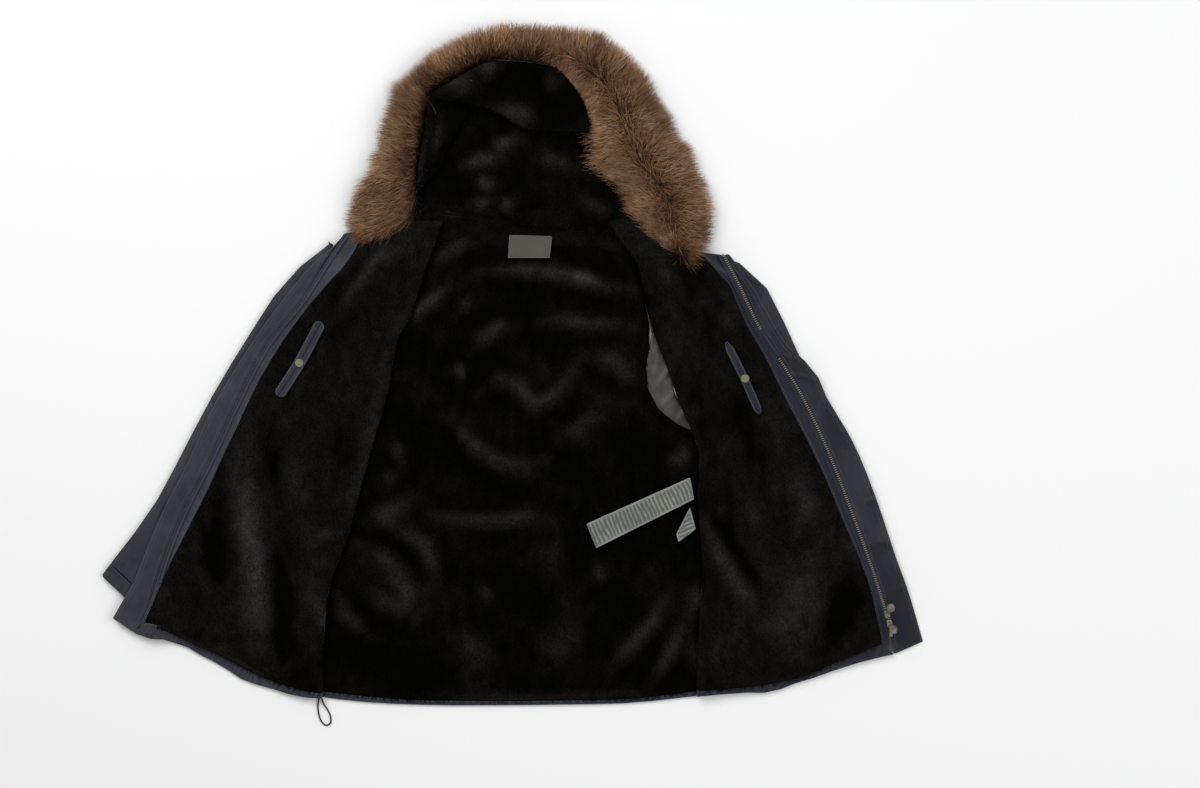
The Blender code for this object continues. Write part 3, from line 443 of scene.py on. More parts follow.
def filled(field):
    # Gaps at an edge take the mean of their neighbours
    field = field.copy()
    while np.isnan(field).any():
        wide = np.pad(field, 1, constant_values=np.nan)
        near = np.stack([wide[:-2, 1:-1], wide[2:, 1:-1], wide[1:-1, :-2], wide[1:-1, 2:]])
        known = ~np.isnan(near)
        total = np.where(known, near, 0).sum(0)
        gap = np.isnan(field) & known.any(0)
        if not gap.any():
            field[np.isnan(field)] = 0.0
            break
        field[gap] = (total / np.maximum(known.sum(0), 1))[gap]
    return field


def eased(field, passes):
    for _ in range(passes):
        wide = np.pad(field, 1, mode="edge")
        near = wide[:-2, 1:-1] + wide[2:, 1:-1] + wide[1:-1, :-2] + wide[1:-1, 2:]
        field = (near + 4 * field) / 8
    return field


def lineDistance(x, y, line):
    # Distance from each point to a line of points, and how far along it that is
    points = [np.array(p) * mm for p in line]
    lengths = [np.linalg.norm(b - a) for a, b in zip(points, points[1:])]
    best = np.full(x.shape, 1e9)
    share = np.zeros(x.shape)
    passed = 0.0
    for a, b, length in zip(points, points[1:], lengths):
        run = b - a
        t = np.clip(((x - a[0]) * run[0] + (y - a[1]) * run[1]) / (length * length), 0, 1)
        far = np.hypot(x - a[0] - t * run[0], y - a[1] - t * run[1])
        nearer = far < best
        best = np.where(nearer, far, best)
        share = np.where(nearer, (passed + t * length) / sum(lengths), share)
        passed += length
    return best, share


def creaseField(x, y, creases):
    # Soft ridges (or troughs, below zero) along lines: height and half width in millimetres
    total = np.zeros(x.shape)
    for height, width, line in creases:
        far, share = lineDistance(x, y, line)
        ends = np.clip(np.minimum(share, 1 - share) * 4, 0, 1) ** 0.6
        total += height * mm * ends / (1 + (far / (width * mm)) ** 2) ** 2
    return total


def cloud(x, y, size, seed, stretch=1.0, heading=0.0):
    # Smooth noise from -1 to 1, with patches of a size that may be drawn out one way
    turn = math.radians(heading)
    u = (x * math.cos(turn) + y * math.sin(turn)) / (size * mm * stretch)
    v = (y * math.cos(turn) - x * math.sin(turn)) / (size * mm)
    flat = [noise.noise(Vector((a, b, seed))) for a, b in zip(u.ravel().tolist(), v.ravel().tolist())]
    return np.array(flat).reshape(x.shape)


def rimLoop(rows, cols):
    grid = np.arange(rows * cols).reshape(rows, cols)
    return np.concatenate([grid[0, :-1], grid[:-1, -1], grid[-1, :0:-1], grid[:0:-1, 0]])


def newObject(name, mesh, material):
    obj = bpy.data.objects.new(name, mesh)
    bpy.context.scene.collection.objects.link(obj)
    if material:
        mesh.materials.clear()
        mesh.materials.append(material)
    return obj


visualTrees = {}


def outwardFaces(mesh):
    shape = bmesh.new()
    shape.from_mesh(mesh)
    bmesh.ops.recalc_face_normals(shape, faces=shape.faces)
    shape.to_mesh(mesh)
    shape.free()


def markPoints(mesh, label, kind, values):
    mark = mesh.attributes.new(label, kind, "POINT")
    field = "vector" if kind == "FLOAT_VECTOR" else "value"
    mark.data.foreach_set(field, values.astype(np.float32).ravel())


def flatLayer(mesh, places):
    # The cloth's own flat coordinates, in metres
    corner = np.empty(len(mesh.loops), np.int32)
    mesh.loops.foreach_get("vertex_index", corner)
    mesh.uv_layers.new(name="cloth").data.foreach_set("uv", places[corner].ravel())


rimDraw = 0.22  # share of a panel's thickness that its edges draw in at top and bottom


def shellPiece(name, grid, top, bottom, material, marks=None, rimOut=0.3):
    # A closed cloth panel from a grid: its top, its underside and a rounded rim
    x, y, uu, vv = grid
    size = x.size
    upper = np.stack([x, y, top], axis=-1).reshape(-1, 3)
    lower = np.stack([x, y, bottom], axis=-1).reshape(-1, 3)
    loop = rimLoop(*x.shape)
    outline = upper[loop, :2]
    after = np.roll(outline, -1, axis=0)
    area = (outline[:, 0] * after[:, 1] - after[:, 0] * outline[:, 1]).sum()
    along = after - np.roll(outline, 1, axis=0)
    along /= np.maximum(np.linalg.norm(along, axis=1), 1e-9)[:, None]
    outward = np.stack([along[:, 1], -along[:, 0]], axis=1) * np.sign(area)
    thick = upper[loop, 2] - lower[loop, 2]
    middle = (upper[loop] + lower[loop]) / 2
    middle[:, :2] += outward * (thick * rimOut)[:, None]
    upper[loop, 2] -= thick * rimDraw
    lower[loop, 2] += thick * rimDraw
    points = np.concatenate([upper, lower, middle])
    index = np.arange(size).reshape(x.shape)
    quads = np.stack([index[:-1, :-1], index[:-1, 1:], index[1:, 1:], index[1:, :-1]],
                     axis=-1).reshape(-1, 4)
    rim = 2 * size + np.arange(len(loop))
    loopNext, rimNext = np.roll(loop, -1), np.roll(rim, -1)
    faces = np.concatenate([quads, quads[:, ::-1] + size,
                            np.stack([loopNext, loop, rim, rimNext], axis=1),
                            np.stack([rimNext, rim, loop + size, loopNext + size], axis=1)])
    mesh = bpy.data.meshes.new(name)
    mesh.from_pydata(points.tolist(), [], faces.tolist())
    flat = np.stack([uu, vv], axis=-1).reshape(-1, 2)
    flatLayer(mesh, np.concatenate([flat, flat, flat[loop]]))
    for label, (kind, field, under) in (marks or {}).items():
        values = field.reshape(size, -1)
        markPoints(mesh, label, kind, np.concatenate([values, values * under, values[loop]]))
    outwardFaces(mesh)
    mesh.shade_smooth()
    visualTrees[name] = BVHTree.FromPolygons(points.tolist(), faces.tolist())
    return newObject(name, mesh, material)


def placed(obj, replaced=(), body="garment"):
    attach(obj, body)
    if replaced:
        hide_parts(*replaced)
    return obj


# Geometry Nodes: hairs that grow on a surface, and rows along a line
def growthTree(name, inputs):
    return nodeGroup(name, "GeometryNodeTree", [
        ("Geometry", "NodeSocketGeometry", None), *inputs, ("Material", "NodeSocketMaterial", None),
        ("Seed", "NodeSocketInt", 1)], [("Geometry", "NodeSocketGeometry")])


def vectors(tree, operation, a, b):
    return addNode(tree, "ShaderNodeVectorMath", {"operation": operation}, {0: a, 1: b}).outputs[0]


def scaled(tree, vector, factor):
    return addNode(tree, "ShaderNodeVectorMath", {"operation": "SCALE"},
                   {0: vector, "Scale": factor}).outputs[0]


def named(tree, label, kind):
    node = addNode(tree, "GeometryNodeInputNamedAttribute", {"data_type": kind}, {"Name": label})
    return next(s for s in node.outputs if s.enabled and s.name == "Attribute")


def randomValue(tree, low, high, seed, kind="FLOAT", offset=0):
    node = addNode(tree, "FunctionNodeRandomValue", {"data_type": kind})
    spots = [s for s in node.inputs if s.enabled]
    feed(tree, low, spots[0])
    feed(tree, high, spots[1])
    feed(tree, sums(tree, "ADD", seed, offset), node.inputs["Seed"])
    return next(s for s in node.outputs if s.enabled)


def painted(tree, shape, asked, out):
    paint = addNode(tree, "GeometryNodeSetMaterial", values={
        "Geometry": shape, "Material": asked["Material"]})
    feed(tree, paint.outputs[0], out["Geometry"])
    return tree


def makeHairTree():
    tree, asked, out = growthTree("hairsOnCloth", (
        ("Hairs per square metre", "NodeSocketFloat", 100000.0), ("Length", "NodeSocketFloat", 0.01),
        ("Length spread", "NodeSocketFloat", 0.25), ("Lean", "NodeSocketFloat", 0.8),
        ("Disorder", "NodeSocketFloat", 0.15), ("Clumps per metre", "NodeSocketFloat", 70.0),
        ("Clumping", "NodeSocketFloat", 0.5), ("Floor", "NodeSocketFloat", 0.0006),
        ("Strands", "NodeSocketCollection", None)))
    seed = asked["Seed"]
    density = sums(tree, "MULTIPLY", asked["Hairs per square metre"], named(tree, "cover", "FLOAT"))
    scatter = addNode(tree, "GeometryNodeDistributePointsOnFaces", {"distribute_method": "RANDOM"}, {
        "Mesh": asked["Geometry"], "Density": density, "Seed": seed}).outputs
    comb = named(tree, "comb", "FLOAT_VECTOR")
    place = addNode(tree, "GeometryNodeInputPosition").outputs[0]
    cells = addNode(tree, "ShaderNodeTexVoronoi", {"feature": "F1"}, {
        "Vector": place, "Scale": asked["Clumps per metre"]})
    toClump = vectors(tree, "SUBTRACT", cells.outputs["Position"], place)
    pull = sums(tree, "DIVIDE", asked["Clumping"], asked["Length"])
    upright = scaled(tree, scatter["Normal"], sums(tree, "SUBTRACT", 1.0, asked["Lean"]))
    way = vectors(tree, "ADD", scaled(tree, comb, asked["Lean"]), upright)
    stray = randomValue(tree, (-1.0, -1.0, -1.0), (1.0, 1.0, 1.0), seed, "FLOAT_VECTOR", 5)
    for vector, factor in ((toClump, pull), (stray, asked["Disorder"])):
        way = vectors(tree, "ADD", way, scaled(tree, vector, factor))
    turn = addNode(tree, "FunctionNodeAxesToRotation", {"primary_axis": "Z", "secondary_axis": "X"}, {
        "Primary Axis": way, "Secondary Axis": vectors(tree, "ADD", comb, scaled(tree, stray, 0.35))})
    size = randomValue(tree, sums(tree, "SUBTRACT", 1.0, asked["Length spread"]), 1.0, seed, "FLOAT", 9)
    for factor in (asked["Length"], named(tree, "long", "FLOAT")):
        size = sums(tree, "MULTIPLY", size, factor)
    strands = addNode(tree, "GeometryNodeCollectionInfo", values={
        "Collection": asked["Strands"], "Separate Children": True, "Reset Children": True})
    setting = addNode(tree, "GeometryNodeInstanceOnPoints", values={
        "Points": scatter["Points"], "Instance": strands.outputs[0], "Pick Instance": True,
        "Instance Index": randomValue(tree, 0, 99, seed, "INT", 13), "Rotation": turn.outputs[0],
        "Scale": size})
    own = addNode(tree, "GeometryNodeStoreNamedAttribute", {"data_type": "FLOAT", "domain": "INSTANCE"}, {
        "Name": "shade", "Geometry": setting.outputs[0],
        "Value": randomValue(tree, 0.0, 1.0, seed, "FLOAT", 17)})
    real = addNode(tree, "GeometryNodeRealizeInstances", values={"Geometry": own.outputs[0]})
    spot = addNode(tree, "ShaderNodeSeparateXYZ", values={"Vector": place}).outputs
    kept = addNode(tree, "ShaderNodeCombineXYZ", values={
        "X": spot["X"], "Y": spot["Y"], "Z": sums(tree, "MAXIMUM", spot["Z"], asked["Floor"])})
    laid = addNode(tree, "GeometryNodeSetPosition", values={
        "Geometry": real.outputs[0], "Position": kept.outputs[0]})
    return painted(tree, laid.outputs[0], asked, out)


def makeRowTree():
    tree, asked, out = growthTree("rowAlongLine", (
        ("Pitch", "NodeSocketFloat", 0.003), ("Unit", "NodeSocketObject", None),
        ("Size spread", "NodeSocketFloat", 0.0)))
    line = addNode(tree, "GeometryNodeMeshToCurve", values={"Mesh": asked["Geometry"]})
    even = addNode(tree, "GeometryNodeResampleCurve", {"mode": "LENGTH"}, {
        "Curve": line.outputs[0], "Length": asked["Pitch"]})
    tangent = addNode(tree, "GeometryNodeInputTangent").outputs[0]
    turn = addNode(tree, "FunctionNodeAxesToRotation", {"primary_axis": "X", "secondary_axis": "Z"}, {
        "Primary Axis": tangent, "Secondary Axis": (0.0, 0.0, 1.0)})
    unit = addNode(tree, "GeometryNodeObjectInfo", values={"Object": asked["Unit"]})
    lowest = sums(tree, "SUBTRACT", 1.0, asked["Size spread"])
    setting = addNode(tree, "GeometryNodeInstanceOnPoints", values={
        "Points": even.outputs[0], "Instance": unit.outputs["Geometry"], "Rotation": turn.outputs[0],
        "Scale": randomValue(tree, lowest, 1.0, asked["Seed"], "FLOAT", 3)})
    real = addNode(tree, "GeometryNodeRealizeInstances", values={"Geometry": setting.outputs[0]})
    return painted(tree, real.outputs[0], asked, out)


hairTree = makeHairTree()
rowTree = makeRowTree()


def grown(name, source, tree, values, smooth=True):
    # Runs a tree on a mesh and keeps what it makes as a plain mesh
    carrier = newObject(name + "_carrier", source, None)
    modifier = carrier.modifiers.new("grow", "NODES")
    modifier.node_group = tree
    for item in tree.interface.items_tree:
        if item.in_out == "INPUT" and item.name in values:
            modifier[item.identifier] = values[item.name]
    bpy.context.view_layer.update()
    graph = bpy.context.evaluated_depsgraph_get()
    mesh = bpy.data.meshes.new_from_object(carrier.evaluated_get(graph),
                                           preserve_all_data_layers=True, depsgraph=graph)
    carrier.modifiers.clear()
    bpy.data.objects.remove(carrier)
    mesh.name = name
    if smooth:
        mesh.shade_smooth()
    return newObject(name, mesh, None)


def strandMesh(name, levels, width, bend, wave, pointed=False):
    # One blade that tapers from its root to its tip and bends over towards +X
    points, reach, faces = [], [], []
    for level in levels:
        sharp = level == 1.0 or (pointed and level == 0.0)
        half = 0.0 if sharp else width * (1.0 - 0.75 * level) / 2
        x = bend * level * level + wave * math.sin(6.5 * level)
        drift = wave * 0.8 * math.sin(4.0 * level + 1.0)
        for side in ((0,) if sharp else (-1, 1)):
            points.append((x, drift + side * half, level * (1 - 0.25 * bend * level)))
            reach.append(level)
    rows = [[i for i, r in enumerate(reach) if r == level] for level in levels]
    for below, above in zip(rows, rows[1:]):
        faces.append(below + above[::-1])
    mesh = bpy.data.meshes.new(name)
    mesh.from_pydata(points, [], faces)
    markPoints(mesh, "reach", "FLOAT", np.array(reach))
    return bpy.data.objects.new(name, mesh)


def strandSet(name, blades):
    group = bpy.data.collections.new(name)
    for i, blade in enumerate(blades):
        group.objects.link(strandMesh(f"{name}_{i}", **blade))
    return group


furStrands = strandSet("furStrands", [
    {"levels": (0.0, 0.4, 0.75, 1.0), "width": 0.026, "bend": 0.30, "wave": 0.02},
    {"levels": (0.0, 0.4, 0.75, 1.0), "width": 0.022, "bend": 0.12, "wave": -0.03},
    {"levels": (0.0, 0.4, 0.75, 1.0), "width": 0.028, "bend": 0.40, "wave": 0.02},
    {"levels": (0.0, 0.4, 0.75, 1.0), "width": 0.020, "bend": 0.20, "wave": 0.04}])
pileStrands = strandSet("pileStrands", [
    {"levels": (0.0, 0.5, 1.0), "width": 0.20, "bend": 0.20, "wave": 0.02, "pointed": True},
    {"levels": (0.0, 0.45, 1.0), "width": 0.17, "bend": 0.30, "wave": -0.03, "pointed": True},
    {"levels": (0.0, 0.4, 1.0), "width": 0.23, "bend": 0.14, "wave": 0.03, "pointed": True}])

pileGrowth = {
    "Hairs per square metre": 185000.0, "Length": 0.0074, "Length spread": 0.4, "Lean": 0.84,
    "Disorder": 0.10, "Clumps per metre": 190.0, "Clumping": 0.12,
}


def growPile(name, base, seed, changes=None):
    values = {**pileGrowth, "Strands": pileStrands, "Material": pileTufts, "Seed": seed,
              **(changes or {})}
    hair = grown(name, base.data.copy(), hairTree, values)
    return placed(hair)


# Linings are padded pile, combed towards the hem
def uncovered(grid, covers, margin=0.012):
    # 1 where nothing lies over the cloth, 0 where it is hidden
    x, y = grid[0], grid[1]
    trees = [cadTree(name) for name in covers]
    hidden = np.ones(x.shape, bool)
    for dx, dy in ((margin, 0), (-margin, 0), (0, margin), (0, -margin)):
        hidden &= ~np.isnan(rayHeights(trees, x + dx, y + dy))
    return np.where(hidden, 0.0, 1.0)


def napWay(x, y, heading, swirl, seed):
    turn = np.radians(heading) + swirl * cloud(x, y, 90, seed) + 0.4 * swirl * cloud(x, y, 30, seed + 7)
    return np.stack([np.cos(turn), np.sin(turn), np.full(x.shape, 0.0)], axis=-1)


def glowField(x, y, glows):
    total = np.zeros(x.shape)
    for strength, width, line in glows:
        far, share = lineDistance(x, y, line)
        ends = np.clip(np.minimum(share, 1 - share) * 3, 0.25, 1)
        total += strength * ends * np.exp(-(far / (width * mm)) ** 2)
    return total


def liningPiece(name, node, look, covers=()):
    grid = slicedGrid(node, look.get("heading", -90), look["gap"], look["gap"])
    x, y = grid[0], grid[1]
    if "tuck" in look:
        reach, above = look["tuck"]
        share = (x - x.min(axis=1, keepdims=True)) / np.ptp(x, axis=1)[:, None]
        x += reach * mm * share ** 8 * np.clip((y - above * mm) / 0.03, 0, 1)
    top = filled(rayHeights([cadTree(node)], x, y))
    top = eased(top, look["ease"]) - look["pileDepth"] * mm
    folds = look.get("folds", ())
    top += creaseField(x, y, [(height, width * 1.3, line) for height, width, light, line in folds])
    top += look["swell"] * mm * cloud(x, y, look["swellSize"], look["seed"], 1.8, look["swellWay"])
    bottom = np.maximum(top - look["wall"] * mm, 0.4 * mm)
    under = filled(rayHeights([cadTree(node)], x, y, above=False))
    bottom = np.minimum(np.maximum(bottom, under - 1.0 * mm), top - 2 * mm)
    cover = uncovered(grid, covers)
    # Painted sheen: highlights along the fold crests (painted shade where a crest's value is below zero), a
    # little over the whole piece and in soft clouds
    glow = look["glowBase"] + look["crest"] * glowField(
        x, y, [(light, width * look["breadth"], line) for height, width, light, line in folds])
    glow += look["glowSpread"] * cloud(x, y, 60, look["seed"] + 11, 1.8, look["swellWay"])
    glow += 0.6 * look["glowSpread"] * cloud(x, y, 15, look["seed"] + 12, 1.8, look.get("nap", -90))
    # Painted shadow: the sheen fades out near where other pieces lie over the lining
    glow *= eased(cover, 5) ** 2
    marks = {
        "cover": ("FLOAT", cover, 0.0),
        "comb": ("FLOAT_VECTOR", napWay(x, y, look.get("nap", -90), look["swirl"], look["seed"]), 1.0),
        "long": ("FLOAT", 1.0 + 0.15 * cloud(x, y, 40, look["seed"] + 5), 1.0),
        "glow": ("FLOAT", np.clip(glow, 0, 1), 1.0),
    }
    obj = shellPiece(name, grid, top, bottom, pileGround, marks)
    placed(obj, (node,))
    return obj


backLook = {
    "tuck": (14, 130),  # how far it runs on under the right front, above this height of the coat
    "gap": 0.0065, "ease": 10, "pileDepth": 3.0, "wall": 4.0, "swell": 1.6, "swellSize": 80,
    "swellWay": -25, "seed": 21.0, "swirl": 0.45, "nap": -85, "glowBase": 0.012, "glowSpread": 0.075,
    "crest": 1.25, "breadth": 1.35,
    "folds": [  # height and half width in millimetres, how much painted highlight its crest gets (painted shade below zero), and its line
        (4, 9, 0.22, ((-130, 165), (-105, 190), (-60, 214))),
        (5, 8, 0.30, ((-60, 158), (0, 161), (60, 158), (110, 149), (150, 134), (200, 129))),
        (3, 8, 0.26, ((80, 154), (120, 146), (150, 134))),
        (5, 8, 0.30, ((-168, 78), (-140, 106), (-100, 134))),
        (2, 9, 0.16, ((-88, 106), (-62, 104))),
        (4, 9, 0.26, ((-66, 32), (-44, 54), (-18, 71), (4, 74))),
        (4, 9, 0.26, ((40, 76), (90, 79), (134, 75), (190, 73))),
        (2, 10, 0.28, ((-95, -2), (-72, 2))),
        (5, 9, 0.28, ((-60, -38), (-20, -12), (12, -26), (32, -53), (60, -46), (86, -20), (102, 10))),
        (5, 11, 0.26, ((120, 26), (165, 14), (188, -8), (208, -16))),
        (5, 10, 0.28, ((-106, -76), (-80, -101), (-50, -131), (-10, -151), (20, -155), (54, -140))),
        (4, 10, 0.20, ((76, -108), (110, -93), (132, -70), (136, -48))),
        (2, 6, 0.22, ((-190, -110), (-178, -144))),
        (2, 9, 0.16, ((-206, -176), (-186, -164))),
        (3, 10, 0.24, ((252, -158), (286, -122))),
        (4, 9, 0.26, ((-122, -232), (-86, -240), (-40, -242), (20, -236), (66, -238))),
        (4, 11, 0.20, ((-232, -240), (-190, -226), (-158, -204))),
        (4, 9, 0.30, ((-200, -242), (-168, -262), (-138, -284), (-124, -322), (-130, -346))),
        (5, 12, 0.28, ((-246, -276), (-206, -302), (-178, -334), (-160, -376), (-146, -388))),
        (3, 9, 0.26, ((-226, -350), (-204, -372), (-156, -392))),
        (4, 9, 0.22, ((-282, -356), (-268, -392), (-232, -426))),
        (2, 12, 0.20, ((-52, -362), (-32, -352))),
        (2, 12, 0.10, ((72, -262), (66, -314))),
        (2, 9, 0.22, ((130, -330), (152, -318))),
        (3, 16, 0.18, ((-92, -416), (-60, -450), (-40, -490))),
        (3, 20, 0.18, ((92, -390), (86, -430), (56, -470))),
        (4, 9, 0.28, ((248, -366), (220, -410), (188, -446), (160, -474))),
        (4, 8, 0.28, ((284, -386), (264, -430), (240, -476), (224, -504))),
        (3, 11, 0.26, ((302, -340), (292, -386))),
        (3, 9, 0.18, ((286, -420), (302, -492))),
        (0, 5, 0.14, ((-150, -521), (-60, -524), (80, -522), (250, -518))),
    ],
}


def smoothLine(points, count):
    # Evenly spaced points on a smooth curve through a short list
    knots = np.array(points, float) * mm
    far = np.concatenate([[0], np.cumsum(np.linalg.norm(np.diff(knots, axis=0), axis=1))])
    slope = np.gradient(knots, far, axis=0)
    at = np.linspace(0, far[-1], count)
    k = np.clip(np.searchsorted(far, at, side="right") - 1, 0, len(far) - 2)
    span = (far[k + 1] - far[k])[:, None]
    t = ((at - far[k]) / span[:, 0])[:, None]
    return (knots[k] * (2 * t ** 3 - 3 * t ** 2 + 1) + slope[k] * span * (t ** 3 - 2 * t ** 2 + t)
            + knots[k + 1] * (3 * t ** 2 - 2 * t ** 3) + slope[k + 1] * span * (t ** 3 - t ** 2))


# The hem's drawcord
drawcord = {
    "route": [(-310, -526.1, 2.6), (-312, -536.3, 2.0), (-311, -550.3, 1.5), (-306, -563.3, 1.5),
              (-299, -569.3, 1.5), (-292, -565.3, 1.5), (-292, -555.3, 1.5), (-297, -543.3, 1.7),
              (-303, -534.3, 2.4), (-305.5, -526.5, 2.6)],
    "diameter": 0.0025, "rings": 90, "sides": 12,
}


def makeCord(look):
    line = smoothLine(look["route"], look["rings"])
    way = np.gradient(line, axis=0)
    way /= np.linalg.norm(way, axis=1)[:, None]
    side = np.cross(way, (0, 0, 1.0))
    side /= np.linalg.norm(side, axis=1)[:, None]
    up = np.cross(side, way)
    far = np.concatenate([[0], np.cumsum(np.linalg.norm(np.diff(line, axis=0), axis=1))])
    points, places = [], []
    for i in range(look["rings"]):
        for j in range(look["sides"]):
            turn = 2 * math.pi * j / look["sides"]
            plait = 1 + 0.06 * math.sin(3 * turn + far[i] * 2600) * math.sin(3 * turn - far[i] * 2600)
            radius = look["diameter"] / 2 * plait
            points.append(line[i] + radius * (side[i] * math.cos(turn) + up[i] * math.sin(turn)))
            places.append((j / look["sides"] * 0.0078, far[i]))
    faces = []
    n = look["sides"]
    for i in range(look["rings"] - 1):
        for j in range(n):
            k = (j + 1) % n
            faces.append((i * n + j, i * n + k, (i + 1) * n + k, (i + 1) * n + j))
    faces.append(tuple(range(n)))
    faces.append(tuple(range((look["rings"] - 1) * n, look["rings"] * n)))
    mesh = bpy.data.meshes.new("drawcord_loop")
    mesh.from_pydata([tuple(p) for p in points], [], faces)
    flatLayer(mesh, np.array(places))
    outwardFaces(mesh)
    mesh.shade_smooth()
    obj = placed(newObject("drawcord_loop", mesh, cordBraid), ("hem_drawcord",))
    print("cord length", round(float(far[-1]), 4))


makeCord(drawcord)

# Outer cloth
def clothPiece(name, node, look, material="navyShell"):
    grid = slicedGrid(node, look.get("heading", -90), look["gap"], look.get("across", look["gap"]))
    x, y, uu, vv = grid
    top = filled(rayHeights([cadTree(node)], x, y))
    top = eased(top, look.get("ease", 4))
    top += creaseField(x, y, look.get("creases", ()))
    swell = look.get("swell", 0.5) * mm
    seed = look.get("seed", 1.0)
    size, way = look.get("swellSize", 45), look.get("swellWay", 60)
    top += swell * cloud(x, y, size, seed, 2.5, way)
    top += 0.3 * swell * cloud(x, y, size * 0.35, seed + 3, 1.5, way)
    # Painted shading: the piece's tone value, painted shade along creases and painted highlights along
    # crests from the listed lines
    toneAndShading = look.get("toneAndShading", 0.0) + glowField(x, y, look.get("paintedShading", ()))
    for amount, pitch in look.get("gathers", ()):
        wobble = cloud(x, y, 30, seed + 5)
        wave = np.sin(fullTurn * (vv / (pitch * mm) + 1.5 * wobble)) * np.clip(0.5 + wobble, 0, 1.2)
        top += amount * mm * wave
        # painted light and shade that follow the gathers' ridges
        toneAndShading += 0.35 * wave
    top = np.maximum(top, (look["wall"] + 0.2) * mm)
    bottom = top - look["wall"] * mm
    obj = shellPiece(name, grid, top, bottom, cloths[material], {"toneAndShading": ("FLOAT", toneAndShading + 0 * x, 1.0)})
    return placed(obj, (node,))


# Each piece's tone value is painted shade and light: pieces on the right are painted darker and those on the
# left lighter, as the light falls from the left. The listed shading lines paint shade in creases and
# highlights on crests.
outerCloth = {
    "back_shell": {"gap": 0.012, "wall": 1.6, "swell": 0.0, "seed": 2.0},
    "hood_shell": {"gap": 0.008, "wall": 1.6, "swell": 0.0, "seed": 3.0},
    "front_shell_left": {"gap": 0.008, "wall": 1.6, "swell": 0.4, "seed": 4.0},
    "front_shell_right": {"gap": 0.008, "wall": 1.6, "swell": 0.4, "seed": 5.0},
    "facing_left": {
        "gap": 0.004, "wall": 1.6, "swell": 0.35, "seed": 6.0, "heading": -120, "across": 0.003,
        "swellSize": 28, "swellWay": 20, "toneAndShading": 0.1,
        "creases": [(1.6, 6, ((-400, 45), (-372, 20))), (1.4, 6, ((-412, 20), (-390, 0)))],
        "paintedShading": [(-0.5, 4, ((-384, 34), (-370, 28))), (-0.4, 4, ((-398, 10), (-390, 4))),
                    (0.15, 7, ((-300, 150), (-420, -50), (-560, -330)))]},
    "facing_right": {
        "gap": 0.004, "wall": 1.6, "swell": 0.4, "seed": 7.0, "heading": -65, "across": 0.003,
        "swellSize": 28, "swellWay": -20, "toneAndShading": -0.6,
        "creases": [(7, 16, ((589, -364), (597, -391), (606, -421)))],
        "paintedShading": [(0.2, 12, ((420, 20), (470, -90), (500, -150))),
                    (-0.2, 20, ((560, -290), (600, -400)))]},
    "storm_flap_left": {
        "gap": 0.004, "wall": 2.4, "swell": 0.35, "seed": 8.0, "heading": -120, "across": 0.004,
        "swellSize": 40, "swellWay": -120, "toneAndShading": 0.04},
    "storm_flap_right": {
        "gap": 0.004, "wall": 2.4, "swell": 0.8, "seed": 9.0, "heading": -65, "across": 0.004,
        "swellSize": 36, "swellWay": -65, "toneAndShading": -0.27,
        "paintedShading": [(-0.6, 3, ((434, 24), (465, 16))), (-0.6, 3, ((440, -6), (474, -10))),
                    (-0.5, 5, ((522, -102), (550, -95))), (-0.6, 6, ((564, -216), (598, -206))),
                    (-0.7, 7, ((566, -288), (600, -281), (624, -276))),
                    (-0.5, 6, ((604, -358), (644, -350))), (-0.4, 8, ((500, -60), (520, -80))),
                    (-0.25, 20, ((590, -300), (630, -420)))],
        "creases": [(3.0, 5, ((430, 28), (466, 20))), (3.0, 6, ((438, -4), (476, -8))),
                    (2.2, 6, ((470, -14), (500, -10))), (2.4, 7, ((520, -96), (552, -89))),
                    (2.6, 8, ((562, -208), (600, -198))), (2.8, 8, ((566, -278), (626, -267))),
                    (2.2, 8, ((602, -350), (644, -342)))]},
    "hem_band_back": {
        "heading": 0, "gap": 0.0025, "across": 0.0015, "wall": 1.8, "swell": 0.5, "seed": 10.0,
        "swellSize": 9, "swellWay": 90, "ease": 1, "gathers": [(0.2, 11)], "toneAndShading": -0.1},
    "hem_band_left": {
        "heading": -20, "gap": 0.0022, "across": 0.0015, "wall": 1.8, "swell": 1.0, "seed": 11.0,
        "swellSize": 9, "swellWay": 70, "ease": 1, "gathers": [(0.5, 8)]},
    "hem_band_right": {
        "heading": 14, "gap": 0.0025, "across": 0.0015, "wall": 1.8, "swell": 0.7, "seed": 12.0,
        "swellSize": 9, "swellWay": 104, "ease": 1, "gathers": [(0.3, 12)], "toneAndShading": -0.25},
}
for node, look in outerCloth.items():
    clothPiece(node + "_cloth", node, look)
print("outer cloth made")


